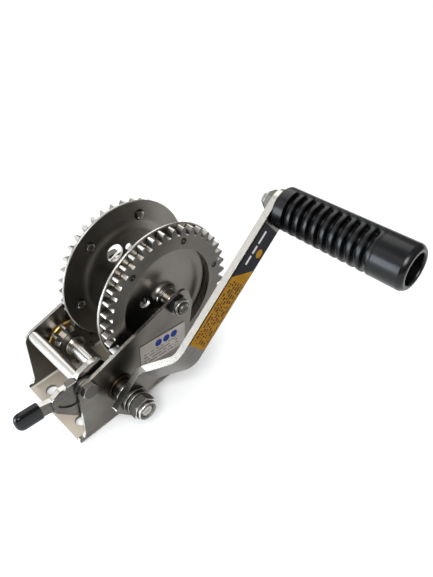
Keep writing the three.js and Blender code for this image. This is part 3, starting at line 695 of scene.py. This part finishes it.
def channel():
    """The bent sheet before its sides are cut: section (y, z) along X."""
    inner = FRAME_HALF - SHEET
    section = rounded([
        (-FRAME_HALF, 0, 5), (FRAME_HALF, 0, 5), (FRAME_HALF, 100, 0), (inner, 100, 0),
        (inner, SHEET, 2), (-inner, SHEET, 2), (-inner, 100, 0), (-FRAME_HALF, 100, 0),
    ], steps=12)
    mesh = plate(section, -BASE_HALF - 5, BASE_HALF + 45, bevel=0)
    # (x, y, z) of the plate helper is (section y, length, section z) here.
    mesh.transform(Matrix(((0, 1, 0, 0), (1, 0, 0, 0), (0, 0, 1, 0), (0, 0, 0, 1))))
    return tidy_mesh(mesh)


def upright_rod(x, y, radius):
    mesh = rod(radius, -5, 12)
    mesh.transform(Matrix.Translation((x, y, 0)) @ Matrix.Rotation(math.pi / 2, 4, "X"))
    return mesh


def frame_polish(face):
    """Bright cut edges: narrow faces, the side plates' edges above the base, and the base's two ends."""
    centre, normal = face.calc_center_median(), face.normal
    if narrow_faces(face, 0.55):
        return 1.0
    on_wall = abs(centre.y) > FRAME_HALF - SHEET - 0.1 and centre.z > 5
    if on_wall and abs(normal.y) < 0.3:
        return 1.0
    at_end = abs(abs(centre.x) - BASE_HALF) < 0.5 and abs(normal.x) > 0.8
    return 1.0 if at_end else 0.0


def build_frame():
    half = FRAME_HALF + 5
    body = boolean(channel(), [plate(side_outline(), -half, half, bevel=0)], "INTERSECT")
    hole = 5.5
    slot_tool = plate(rounded(box_outline(26, -hole, 46, hole), hole, 10), -12, 5, bevel=0)
    slot_tool.transform(Matrix.Rotation(-math.pi / 2, 4, "X"))
    tools = [
        rod(HOLE_M10, -half, half, *DRUM),
        rod(10.3, -half, half, *CRANK),
        rod(HOLE_M8, -half, half, *PAWL),
        upright_rod(-39, 23.5, hole),
        upright_rod(-39, -23.5, hole),
        slot_tool,
    ]
    body = bevelled(boolean(body, tools), 0.35)
    stand_in("frame", "sheet", body, SHEET_STEEL, "frame_body", "stainless", polish=frame_polish)


# ---- Gears ----
MODULE = 3.175
PRESSURE = math.radians(20)
BACKLASH = 0.5
RING_TEETH = 39
PINION_TEETH = 13
RIVET_CIRCLE = 53
RIVET_START = math.radians(5)
BEARING = math.atan2(CRANK[1] - DRUM[1], CRANK[0] - DRUM[0])
RING_PHASE = {"near": math.radians(2.7), "far": math.radians(4)}


def tooth_half_angle(radius, pitch_radius):
    base = pitch_radius * math.cos(PRESSURE)
    at = math.acos(min(1, base / max(radius, base)))
    thickness = math.pi * MODULE / 2 - BACKLASH
    return thickness / (2 * pitch_radius) + (math.tan(PRESSURE) - PRESSURE) - (math.tan(at) - at)


def gear_outline(teeth, phase, relief):
    """An involute gear's outline with its tooth corners slightly rounded."""
    pitch_radius = MODULE * teeth / 2
    root = pitch_radius - 1.25 * MODULE
    tip = pitch_radius + 0.94 * MODULE
    waist = max(pitch_radius * math.cos(PRESSURE), root + 0.4)
    radii = [waist + (tip - 0.35 - waist) * k / 4 for k in range(5)]
    flank = [(radius, tooth_half_angle(radius, pitch_radius)) for radius in radii]
    flank.insert(0, (root, flank[0][1] + relief))
    flank.append((tip - 0.08, tooth_half_angle(tip, pitch_radius) - 0.25 / tip))
    flank.append((tip, tooth_half_angle(tip, pitch_radius) - 0.6 / tip))
    loop = []
    for tooth in range(teeth):
        centre = phase + tooth * 2 * math.pi / teeth
        for side, points in ((-1, flank), (1, flank[::-1])):
            loop += [polar(radius, centre + side * half) for radius, half in points]
    return loop


def gear_polish(face):
    """Tooth tips shine, flanks a little; the flat sides are dull."""
    if abs(face.normal.y) > 0.9:
        return 0.0
    centre = face.calc_center_median()
    radial = (face.normal.x * centre.x + face.normal.z * centre.z) / math.hypot(centre.x, centre.z)
    return 1.0 if radial > 0.8 else 0.3


def from_axle(face):
    centre = face.calc_center_median()
    return math.hypot(centre.x, centre.z)


def rim_polish(face):
    """The cut edge of a plate shines; its flat sides are dull."""
    return 0.0 if abs(face.normal.y) > 0.9 else 1.0


RIVET_SPOTS = [polar(RIVET_CIRCLE, RIVET_START + i * math.pi / 3) for i in range(6)]


def build_ring_gear(side):
    node = f"ring_gear_{side}"
    low, high = span(node)
    outline = gear_outline(RING_TEETH, RING_PHASE[side], 0.012)
    bore, line_depth, line_width = 46, 0.45, 0.7
    holes = [circle(0, 0, bore, 120)] + [circle(x, z, RIVET_HOLE, 24) for x, z in RIVET_SPOTS]
    mesh = plate(outline, low.y, high.y, holes, bevel=0.3)
    lines = [low.y + share * (high.y - low.y) for share in (0.3, 0.62)]
    tools = [washer_lathe(bore + line_depth, bore - 2, y, y + line_width, 0, 144) for y in lines]
    finish = {"at": DRUM, "polish": gear_polish, "sharp": TOOTH_CREASE}
    stand_in(node, "teeth", boolean(mesh, tools), GEAR_STEEL, "drum_body", "stainless", **finish)


def build_pinion(side):
    node = f"pinion_{side}"
    low, high = span(node)
    pitch = 2 * math.pi / RING_TEETH
    phase = RING_PHASE[side]
    nearest = round((BEARING - phase) / pitch) * pitch + phase
    own = BEARING + math.pi - (nearest - BEARING) * RING_TEETH / PINION_TEETH + math.pi / PINION_TEETH
    outline = gear_outline(PINION_TEETH, own, -0.02)
    mesh = plate(outline, low.y, high.y, [circle(0, 0, JOURNAL_BORE)], bevel=0.25)
    finish = {"at": CRANK, "polish": gear_polish, "sharp": TOOTH_CREASE}
    stand_in(node, "teeth", mesh, PINION_STEEL, "crank_body", **finish)


# ---- Drum ----
FLANGE_HOLES = {  # distance from the axle, degrees, radius
    "near": [(18.8, 173.5, 4.8)],
    "far": [(28.6, 111.6, 8.3), (25.6, 81.3, 3.2)],
}


def build_flange(side):
    node = f"drum_flange_{side}"
    sign = -1 if side == "near" else 1
    section = rounded([
        (65.2, 23.5, 0.1), (66, 24.0, 0.4), (66, 25.5, 0.4), (65.2, 26, 0.1), (47.0, 26, 4.0),
        (41.5, 23.5, 5.0), (19, 23.5, 4), (12.5, 25, 4), (10.2, 28, 2.5), (10.2, 30.4, 0.3),
        (8.5, 30.4, 0), (8.5, 27.6, 2), (11, 23, 3), (17, 21, 4), (42.2, 21, 5.0),
        (47.6, 23.5, 4.0),
    ], steps=6)
    disc = lathe([(radius, sign * y) for radius, y in section], 144)
    reach = sorted((sign * 5, sign * 40))
    tools = [rod(RIVET_HOLE, *reach, x, z, 24) for x, z in RIVET_SPOTS]
    for distance, degrees, radius in FLANGE_HOLES[side]:
        tools.append(rod(radius, *reach, *polar(distance, math.radians(degrees)), 40))
    disc = boolean(disc, tools)

    def polish(face):
        distance = from_axle(face)
        return 1.0 if distance > 65.3 or (abs(face.normal.y) < 0.25 and distance < 60) else 0.0

    # The far flange takes the paler copy of the flange steel, which paints light inside the drum.
    material = FLANGE_STEEL if side == "near" else FAR_FLANGE_LIT_STEEL
    finish = {"at": DRUM, "polish": polish, "sharp": TOOTH_CREASE}
    stand_in(node, "disc", disc, material, "drum_body", "stainless", **finish)


def build_rivets(side):
    sign = -1 if side == "near" else 1
    low, high = span(f"rivet_{side}_1")
    inner, outer = sorted((abs(low.y), abs(high.y)))
    heads = []
    for x, z in RIVET_SPOTS:
        section = rounded([
            (0, inner, 0), (2.8, inner + 0.05, 0.9), (4.7, inner + 1.2, 0.7),
            (4.75, inner + 1.9, 0.1), (2.6, inner + 1.9, 0), (2.6, outer - 0.1, 0),
            (2.3, outer, 0.2), (1.6, outer - 0.25, 0.2), (0, outer - 0.25, 0),
        ], steps=4)
        one = lathe([(radius, sign * y) for radius, y in section], 28)
        marks = []
        for y, length in ((sign * inner, 3.4), (sign * outer, 2.1)):
            for k in range(3):
                lobe = rounded([(0, -0.2), (length, -0.75), (length, 0.75), (0, 0.2)], 0.3, 2)
                mark = plate(lobe, y - 0.75, y + 0.75, bevel=0.05)
                mark.transform(Matrix.Rotation(x * 0.31 + k * 2 * math.pi / 3, 4, "Y"))
                marks.append(mark)
        one = boolean(one, marks)
        one.transform(Matrix.Translation((x, 0, z)))
        heads.append(one)
    nodes = [f"rivet_{side}_{i + 1}" for i in range(6)]

    def polish(face):
        centre = face.calc_center_median()
        away = min(math.hypot(centre.x - x, centre.z - z) for x, z in RIVET_SPOTS)
        marked = abs(face.normal.y) > 0.9 and outer - 1.2 < abs(centre.y) < outer - 0.4 and away < 2.7
        staked = side == "near" and abs(centre.y) > outer - 0.6
        # Where this gives 0 the rivet steel paints shade: the near rivets' staked ends, the far rivets' marks
        # and the ring round each head turn dark.
        if staked or away > 3.9:
            return 0.0
        if marked:
            return 0.5 if side == "near" else 0.0
        return 1.0 if abs(centre.y) < inner + 1.0 and abs(face.normal.y) < 0.9 else 0.2

    finish = {"at": DRUM, "polish": polish}
    piece(f"rivets_{side}", joined(heads), RIVET_STEEL, "drum_body", "stainless", nodes, **finish)


def build_hub():
    half = [(16, 20.7, 0.4), (8.2, 20.7, 0), (8.2, 30.4, 0.4), (5.4, 30.4, 0)]
    mirrored = [(radius, -y, reach) for radius, y, reach in half][::-1]
    mesh = lathe(rounded(half + mirrored, steps=3), 72)

    def polish(face):
        return 1.0 if abs(face.calc_center_median().y) > 16 else 0.0

    stand_in("drum_hub", "tube", mesh, HUB_STEEL, "drum_body", at=DRUM, polish=polish)


# ---- Fasteners ----
def washer_lathe(outer, inner, y0, y1, edge=0.3, segments=64):
    return lathe(rounded([(inner, y0), (outer, y0), (outer, y1), (inner, y1)], edge, 3), segments)


def build_ring(node, kind, outer, inner, edge, material, body, at, slot="bright_steel"):
    """A plain tube or washer over the length of its CAD node."""
    low, high = span(node)
    stand_in(node, kind, washer_lathe(outer, inner, low.y, high.y, edge), material, body, slot, at=at)


def bolt_with_head(radius, across, seat, head_end, tip, pitch, thread_from):
    """A hexagon bolt about Y: head, shank and thread, as one piece."""
    outward = 1 if head_end > seat else -1
    head = hexagon(across, seat, head_end, (head_end,))
    low, high = sorted((seat + outward * 0.5, thread_from))
    shank = lathe([(0, low), (radius, low), (radius, high), (0, high)], 40)
    end = thread(radius, *sorted((thread_from + outward * 0.3, tip)), pitch)
    return joined([head, shank, end])


def lock_nut(across, bore, seat, end):
    """A lock nut: hexagon at its seat and a rolled collar that holds a plastic ring."""
    outward = 1 if end > seat else -1
    height = abs(end - seat)
    hex_end = seat + outward * height * 0.72
    body = hexagon(across, seat, hex_end, (seat, hex_end))
    collar = lathe(rounded([
        (bore + 0.2, hex_end - outward * 0.8, 0), (across * 0.45, hex_end - outward * 0.8, 0),
        (across * 0.44, end - outward * 0.4, height * 0.22), (across * 0.34, end, 0.5),
        (across * 0.34, end - outward * 0.5, 0.1), (bore + 0.2, end - outward * 0.6, 0),
    ], steps=5), 64)
    mesh = boolean(body, [collar], "UNION")
    low, high = sorted((seat - outward, end + outward))
    return boolean(mesh, [rod(bore + 0.15, low, high)])


def insert_ring(across, bore, seat, end):
    """The plastic ring that shows inside a lock nut's collar."""
    outward = 1 if end > seat else -1
    y0, y1 = sorted((end - outward * 1.6, end - outward * 0.35))
    return washer_lathe(across * 0.335, bore + 0.05, y0, y1, 0.2, 48)


def build_lock_nut(node, across, bore, seat, end, material, **place):
    """A lock nut and, as a piece of its own, the plastic ring in its collar."""
    nut = lock_nut(across, bore, seat, end)
    stand_in(node, "steel", nut, material, "crank_body", sharp=NUT_CREASE, **place)
    ring = insert_ring(across, bore, seat, end)
    piece(f"{node}_insert", ring, NYLON, "crank_body", "bright_steel", [], polish=everything(0), **place)


def build_axle():
    bolt_low, bolt_high = span("axle_bolt")
    nut_low, nut_high = span("axle_nut")
    bolt = bolt_with_head(RADIUS_M10, FLATS_M10, FRAME_HALF + FIT, bolt_high.y, bolt_low.y, 1.5, -36)
    bolt = boolean(bolt, cap_marks(3.2, bolt_low.y, 2))
    nut = lock_nut(FLATS_M10, RADIUS_M10, nut_high.y, nut_low.y)
    for node, mesh in (("axle_bolt", bolt), ("axle_nut", nut)):
        stand_in(node, "steel", mesh, DARK_STEEL, "frame_body", at=DRUM, sharp=NUT_CREASE)
    for side in ("near", "far"):
        build_ring(f"axle_spacer_{side}", "tube", 8, HOLE_M10, 0.5, SPACER_STEEL, "frame_body", DRUM)


def build_pawl_bolt():
    low, high = span("pawl_bolt")
    bolt = bolt_with_head(RADIUS_M8, FLATS_M8, -FRAME_HALF - FIT, low.y, high.y, 1.25, 36)
    stand_in("pawl_bolt", "steel", bolt, DARK_STEEL, "frame_body", at=PAWL, sharp=NUT_CREASE)
    build_ring("pawl_spacer", "tube", 5.2, HOLE_M8, 0.3, CHROME_STEEL, "frame_body", PAWL)
    build_ring("pawl_washer", "steel", 8, HOLE_M8, 0.15, DARK_STEEL, "frame_body", PAWL)


# ---- Crank shaft ----
def build_shaft():
    low, high = span("crank_shaft")
    hub_inner = span("crank_washer")[0].y
    section = rounded([
        (0, hub_inner, 0), (JOURNAL, hub_inner, 0.3), (JOURNAL, 24.4, 0), (9.5, 24.4, 0.4),
        (9.5, 26.1, 0.4), (JOURNAL, 26.1, 0), (JOURNAL, 44.5, 0.2), (6.3, 44.5, 0),
        (6.3, 46.1, 0), (JOURNAL, 46.1, 0.2), (JOURNAL, high.y, 0.9), (0, high.y, 0),
    ], steps=3)
    body = lathe(section, 64)
    half = 6
    square = plate(box_outline(-half, -half, half, half), -61, hub_inner + 0.5, bevel=0.3)
    square = boolean(square, [rod(JOURNAL, -70, -40)], "INTERSECT")
    square.transform(Matrix.Rotation(-ARM_ANGLE, 4, "Y"))
    end = thread(RADIUS_M12, low.y, -59, 1.75)
    mesh = joined([body, square, boolean(end, cap_marks(3.6, low.y, 1))])
    stand_in("crank_shaft", "steel", mesh, SHAFT_STEEL, "crank_body", at=CRANK)
    nut_low, nut_high = span("crank_nut")
    place = {"at": CRANK, "turn": ARM_ANGLE + CRANK_NUT_TURN}
    build_lock_nut("crank_nut", FLATS_M12, RADIUS_M12, nut_high.y, nut_low.y, NUT_STEEL, **place)
    low, high = span("nut_spacer")
    bore, waist, rim = 6.2, 10.3, 12
    step = high.y - 2.7
    section = [(bore, low.y, 0), (waist, low.y, 0.5), (waist, step, 0)]
    section += [(rim, step, 0.4), (rim, high.y, 0.3), (bore, high.y, 0)]
    spacer = lathe(rounded(section, steps=3), 72)
    stand_in("nut_spacer", "steel", spacer, DARK_STEEL, "crank_body", at=CRANK)


def build_bushes():
    low, high = span("bush_near")
    flange = low.y + 1.8
    near = lathe(rounded([
        (JOURNAL_BORE, low.y, 0.3), (12.5, low.y, 0.4), (12.5, flange, 0.3), (10, flange, 0),
        (10, high.y, 0.3), (JOURNAL_BORE, high.y, 0.2),
    ], steps=3), 72)
    stand_in("bush_near", "bronze", near, BRONZE, "frame_body", "brass", at=CRANK)
    low, high = span("bush_far")
    seat = FRAME_HALF - SHEET - FIT
    far = lathe(rounded([
        (JOURNAL_BORE, low.y, 0.3), (12.9, low.y, 0.3), (13.6, low.y + 0.8, 0.3),
        (13.6, seat - 2.2, 0.5), (18.6, seat - 2.2, 0.4), (19.2, seat - 1.4, 0.4),
        (19.2, seat, 0.2), (10, seat, 0), (10, high.y, 0.3), (JOURNAL_BORE, high.y, 0.3),
    ], steps=4), 96)
    stand_in("bush_far", "brass", far, BRASS, "frame_body", "brass", at=CRANK)
    bore = JOURNAL_BORE
    build_ring("crank_spacer", "steel", 10, bore, 0.4, DARK_STEEL, "crank_body", CRANK, "stainless")
    build_ring("crank_washer", "steel", 12.5, bore, 0.4, BOLT_STEEL, "crank_body", CRANK)
    low, high = span("shaft_clip")
    mouth = plate(box_outline(-4.5, -16, 4.5, -2), low.y - 1, high.y + 1, bevel=0)
    clip = boolean(washer_lathe(11, 6.6, low.y, high.y, 0.15), [mouth])
    stand_in("shaft_clip", "steel", clip, WIRE_STEEL, "crank_body", "spring_steel", at=CRANK)


# ---- Crank arm ----
def build_arm():
    width, thick, tail = 25, 6, 15
    hub_face, main_face = -60, -85
    start, finish, lean = 22, 48, 2.4
    end = ARM_REACH + width / 2
    side = rounded([
        (-tail - 2, hub_face, 0), (start, hub_face, 5), (finish, main_face, 9),
        (end + 2, main_face, 0), (end + 2, main_face + thick, 0),
        (finish + lean, main_face + thick, 5), (start + lean, hub_face + thick, 9),
        (-tail - 2, hub_face + thick, 0),
    ], steps=14)
    bar = plate(side, -width, width, bevel=0)
    # The helper's (x, y, z) is (along the arm, width, y) here.
    bar.transform(Matrix(((1, 0, 0, 0), (0, 0, 1, 0), (0, 1, 0, 0), (0, 0, 0, 1))))
    bar = tidy_mesh(bar)
    half = width / 2
    spots = [polar(half, math.pi * (k / 24 - 0.5)) for k in range(25)]
    tip = [(ARM_REACH + along, across) for along, across in spots]
    face = rounded([(-tail, half, 4), (-tail, -half, 4), (ARM_REACH - 20, -half, 0)], steps=8)[:-1] + tip
    bar = boolean(bar, [plate(face, -100, -45, bevel=0)], "INTERSECT")
    hole = 6.3
    square = plate(box_outline(-hole, -hole, hole, hole), -80, -45, bevel=0)
    bar = boolean(bar, [square, rod(HOLE_M10, -100, -60, ARM_REACH, 0)])
    bar = bevelled(bar, 0.55, 3, 40)
    # The arm is cut across near the hub so that the faces there can be left without wear: painted shade that
    # keeps the hub end's edges dark.
    shaded_hub_end = start + 5
    with edited(bar) as bm:
        everywhere = [*bm.verts, *bm.edges, *bm.faces]
        bmesh.ops.bisect_plane(bm, geom=everywhere, plane_co=(shaded_hub_end, 0, 0), plane_no=(1, 0, 0))

    def polish(face):
        broad = abs(face.normal.z) < 0.35 and abs(face.normal.y) > 0.35
        # Painted shade: the edge faces and the end face at the hub end stay dark.
        dull = face.calc_center_median().x < shaded_hub_end and max(abs(c) for c in face.normal) > 0.97
        return 0.0 if broad or dull else 1.0

    stand_in("crank_arm", "bar", bar, ARM_STEEL, "crank_body", at=CRANK, turn=ARM_ANGLE, polish=polish)


def build_arm_labels():
    half, seam = 10.9, LABEL_SPLIT[0]
    for node, start, end, material, slot in (
        ("arm_label_top", seam, 174, BLACK_LABEL, "label_black"),
        ("arm_label_lower", 64, seam - 0.05, AMBER_LABEL, "label_amber"),
    ):
        corners = (start, -half), (end, half)
        build_label(node, *corners, 1.5, material, "crank_body", slot, CRANK, ARM_ANGLE)


# ---- Grip ----
GRIP_RADIUS = 17.5
GROOVES = 10
GROOVE_PITCH = 7.7
GROOVE_DEPTH = 4.8
GROOVE_HALF = 0.31  # the groove takes the first part of each pitch, and the rib the rest
RIB_HALF = 0.5 - GROOVE_HALF
GRIP_COLLAR = 10.3
SPINE_ANGLE = math.radians(65)


def grip_radius(y_from_start, length, angle):
    """The grip's outer radius: deep rounded grooves that stop at a spine along one side."""
    base = GRIP_RADIUS - 0.5 + 0.6 * y_from_start / length
    along = y_from_start - GRIP_COLLAR
    if not 0 < along < GROOVES * GROOVE_PITCH:
        return base
    phase = (along % GROOVE_PITCH) / GROOVE_PITCH
    edge = abs(phase - GROOVE_HALF) / GROOVE_HALF
    depth = GROOVE_DEPTH * max(0.0, 1 - edge ** 12) if edge < 1 else 0.0
    on_rib = phase > 2 * GROOVE_HALF
    crown = 0.15 * max(0.0, 1 - ((phase - 1 + RIB_HALF) / RIB_HALF) ** 2) if on_rib else 0.0
    off = abs((angle - SPINE_ANGLE + math.pi) % (2 * math.pi) - math.pi)
    fade = min(1.0, max(0.0, (off - math.radians(15)) / math.radians(6)))
    fade = fade * fade * (3 - 2 * fade)
    return base - depth * fade + crown * fade


def build_grip():
    start, end = span("grip")[1].y, span("grip_cup")[0].y
    length = start - end
    segments, steps = 128, 540
    rows = [(0.0, -2.4), (0.35, -1.2), (1.0, -0.45), (2.0, -0.05)]
    rows += [(2.0 + (length - 6.0) * k / steps, 0.0) for k in range(1, steps)]
    last = [(3.9, 0.0), (2.6, -0.35), (1.2, -1.3), (0.35, -2.1), (0, -2.8)]
    rows += [(length - before_end, inset) for before_end, inset in last]
    verts = []
    for along, inset in rows:
        for i in range(segments):
            angle = 2 * math.pi * i / segments
            x, z = polar(grip_radius(along, length, angle) + inset, angle)
            verts.append((x, start - along, z))
    bottom = end + 34
    bore = [(12.9, end), (12.2, end + 0.7), (12, end + 2), (12, bottom), (5.4, bottom), (5.4, start)]
    for radius, y in bore:
        verts += ring_points(radius, y, segments)
    mesh = new_mesh(verts, tube_faces(len(rows) + len(bore), segments, closed=True))

    def polish(face):
        return 1.0 if from_axle(face) > GRIP_RADIUS - 0.3 and abs(face.normal.y) < 0.5 else 0.0

    nodes = ["grip", "grip_cup"]
    finish = {"at": GRIP, "polish": polish, "sharp": 60}
    piece("grip_moulding", mesh, GRIP_PLASTIC, "grip_body", "grip_plastic", nodes, **finish)


def build_grip_bolt():
    low, high = span("grip_bolt")
    bolt = bolt_with_head(RADIUS_M10, FLATS_M10, low.y + 6.4, low.y, high.y, 1.5, -92)
    bolt = boolean(bolt, cap_marks(3.2, high.y, 1))
    stand_in("grip_bolt", "steel", bolt, BOLT_STEEL, "crank_body", at=GRIP, sharp=NUT_CREASE)
    low, high = span("grip_nut")
    build_lock_nut("grip_nut", FLATS_M10, RADIUS_M10, low.y, high.y, DARK_STEEL, at=GRIP)


# ---- Pawl ----
LOWER_CLAW = [(2, -11, 5), (-0.6, -20, 4), (-0.2, -28, 3), (2.6, -35, 0.8), (-4, -38, 2), (-13.3, -26, 4)]


def build_pawl():
    low, high = span("pawl_lever")
    outline = rounded([
        (-55, -2, 2), (-55, 10.5, 2), (-36, 8.2, 2), (-27, 5.2, 2), (-19.5, 9.2, 1.5), (-14, 8.6, 1),
        (-5, 8.6, 1), (-1.5, 13, 2), (11, 16.6, 4), (19.5, 14.5, 4), (24.2, 3.4, 0.8), (18.5, 4.6, 2),
        (9, -1.4, 4), *LOWER_CLAW, (-25, -11.8, 4), (-30, -5.4, 3), (-38, -3.6, 2),
    ], steps=8)
    mesh = plate(outline, low.y, high.y, [circle(0, 0, HOLE_M8)], bevel=0.4)
    stand_in("pawl_lever", "plate", mesh, PAWL_STEEL, "pawl_body", at=PAWL, polish=rim_polish)


def build_pawl_cheek():
    """The thin plate in front of the lever, with its tab folded back over the lever's top."""
    low, high = span("pawl_cheek")
    sheet_end = span("pawl_lever")[0].y - FIT
    top = 10.2
    outline = rounded([
        (-28.6, 6.6, 3), (-28.8, -7, 3), *LOWER_CLAW[::-1], (9, -5, 4), (9, 6, 4),
        (-5.4, top, 0.4), (-12.8, top, 0.4), (-15.5, 9, 1),
    ], steps=8)
    sheet = plate(outline, low.y, sheet_end, [circle(0, 0, HOLE_M8)], bevel=0)
    tab = plate(box_outline(-12.8, top - 1.2, -5.4, top), low.y + 0.4, high.y, bevel=0)
    mesh = bevelled(boolean(sheet, [tab], "UNION"), 0.3)
    stand_in("pawl_cheek", "plate", mesh, PAWL_STEEL, "pawl_body", "stainless", at=PAWL)


def build_pawl_cap():
    """A dipped sleeve with a soft square section and a domed closed end."""
    low, high = span("pawl_cap")
    open_x, closed_x = high.x - PAWL[0], low.x - PAWL[0]
    length = open_x - closed_x
    middle_y, half_y = (low.y + high.y) / 2, (high.y - low.y) / 2
    rings, around = 40, 64
    verts = []
    for k in range(rings + 1):
        t = 1 - (1 - k / rings) ** 2
        dome = max(0.0, (t - 0.68) / 0.32)
        scale = max(0.02, (1 - dome ** 2.4) ** (1 / 2.4))
        lip = 1 - 0.05 * max(0.0, 1 - t / 0.03)
        x = open_x - length * t
        centre_z = 2.4 + 1.9 * t
        for i in range(around):
            c, n = polar(1, 2 * math.pi * i / around)
            y = middle_y + half_y * lip * scale * math.copysign(abs(c) ** 0.62, c)
            z = centre_z + 8.1 * lip * scale * math.copysign(abs(n) ** 0.62, n)
            verts.append((x, y, z))
    body = new_mesh(verts, tube_faces(rings + 1, around))
    pocket = rounded([(-55.4, -2.4, 2), (-55.4, 10.9, 2), (-36, 8.6, 0.2), (-36, -4.1, 0.2)], steps=4)
    lever_low, lever_high = span("pawl_lever")
    body = boolean(body, [plate(pocket, lever_low.y - FIT, lever_high.y + FIT, bevel=0)])
    finish = {"at": PAWL, "sharp": 50, "polish": everything(0.3)}
    stand_in("pawl_cap", "vinyl", body, VINYL, "pawl_body", "vinyl", **finish)


def build_pawl_spring():
    low, high = span("pawl_spring")
    y = (low.y + high.y) / 2
    leg = [(-24.5, -3), (-19, -8.6), (-12, -11.4), (-3.6, -10.2)]
    turn = [polar(9.4, math.radians(250 - 15 * i)) for i in range(21)]
    curve = bpy.data.curves.new("wire", "CURVE")
    curve.dimensions = "3D"
    spline = curve.splines.new("BEZIER")
    spline.bezier_points.add(len(leg) + len(turn) - 1)
    for point, (x, z) in zip(spline.bezier_points, leg + turn):
        point.co = (x, y, z)
        point.handle_left_type = point.handle_right_type = "AUTO"
    curve.bevel_depth = 0.5
    curve.bevel_resolution = 3
    curve.use_fill_caps = True
    mesh = tidy_mesh(evaluated(bpy.data.objects.new("wire", curve)), 0.01)
    bpy.data.curves.remove(curve)
    finish = {"at": PAWL, "polish": everything(0.4)}
    stand_in("pawl_spring", "wire", mesh, WIRE_STEEL, "pawl_body", "spring_steel", **finish)


# ---- Rating label ----
def build_rating_label():
    low, high = span("rating_label")
    centre = ((low.x + high.x) / 2, (low.z + high.z) / 2)
    place = {"at": centre, "turn": math.radians(-7)}
    corners = (-24.5, -12.2), (24.5, 12.2)
    build_label("rating_label", *corners, 1, RATING_LABEL, "frame_body", "label_grey", **place)


# ---- Scene ----
def build_studio():
    floor_mesh = bpy.data.meshes.new("floor")
    reach, drop = 5.0, 0.0003
    corners = [(x, y, -drop) for x, y in box_outline(-reach, -reach, reach, reach)]
    floor_mesh.from_pydata(corners, [], [(0, 1, 2, 3)])
    floor = bpy.data.objects.new("floor", floor_mesh)
    link(floor)
    pale = Shader("pale_floor", roughness=0.9)
    tone = pale.mix(pale.noise(3.0, 2.0), (0.80, 0.80, 0.80), (0.83, 0.83, 0.83))
    pale.set("Base Color", tone)
    floor_mesh.materials.append(pale.material)
    build_world()
    aim = Vector((0.05, -0.05, 0.08))
    white, cool = (1.0, 1.0, 1.0), (0.80, 0.91, 1.0)
    for name, place, size, power, colour in (
        ("back_softbox", (0.75, 0.85, 1.25), 1.5, 14.0, white),
        ("left_softbox", (-1.0, 0.9, 1.25), 1.3, 6.5, white),
        ("camera_softbox", (-0.55, -0.85, 1.25), 0.7, 26.0, white),
        ("low_softbox", (-0.75, 0.28, 0.22), 0.5, 9.0, cool),
    ):
        light = bpy.data.lights.new(name, "AREA")
        light.size = size
        light.energy = power
        light.color = colour
        obj = bpy.data.objects.new(name, light)
        obj.location = place
        obj.rotation_euler = (aim - Vector(place)).to_track_quat("-Z", "Y").to_euler()
        link(obj)


def build_world():
    """A plain room that is dim and warm at the horizon and pale overhead."""
    world = bpy.data.worlds.new("studio")
    world.use_nodes = True
    nodes, links = world.node_tree.nodes, world.node_tree.links
    direction = nodes.new("ShaderNodeTexCoord")
    parts = nodes.new("ShaderNodeSeparateXYZ")
    ramp = nodes.new("ShaderNodeValToRGB")
    links.new(direction.outputs["Generated"], parts.inputs[0])
    links.new(parts.outputs[2], ramp.inputs["Fac"])
    ramp.color_ramp.interpolation = "EASE"
    stops = ((0.05, (0.16, 0.14, 0.12, 1)), (0.75, (0.62, 0.64, 0.66, 1)))
    for element, (position, colour) in zip(ramp.color_ramp.elements, stops):
        element.position, element.color = position, colour
    links.new(ramp.outputs["Color"], nodes["Background"].inputs["Color"])
    bpy.context.scene.world = world


def build_camera():
    """The pinhole camera that was fitted to the photo's outlines."""
    camera = bpy.data.cameras.new("camera")
    camera.lens = 33.706
    camera.sensor_width = 36.0
    camera.clip_start = 0.01
    right = Vector((0.71047025, -0.70131350, -0.05823578))
    down = Vector((-0.50571132, -0.45125873, -0.73526975))
    forward = Vector((0.48937520, 0.55183778, -0.67526808))
    turn = Matrix((right, -down, -forward)).transposed().to_4x4()
    obj = bpy.data.objects.new("camera", camera)
    obj.matrix_world = Matrix.Translation((-0.12588, -0.30795, 0.38987)) @ turn
    link(obj)
    bpy.context.scene.camera = obj


build_camera()
build_studio()
build_frame()
build_rating_label()
for each_side in ("near", "far"):
    build_ring_gear(each_side)
    build_pinion(each_side)
    build_flange(each_side)
    build_rivets(each_side)
build_hub()
build_axle()
build_shaft()
build_bushes()
build_arm()
build_arm_labels()
build_grip()
build_grip_bolt()
build_pawl()
build_pawl_cheek()
build_pawl_cap()
build_pawl_spring()
build_pawl_bolt()
bpy.context.scene.view_settings.view_transform = "Standard"
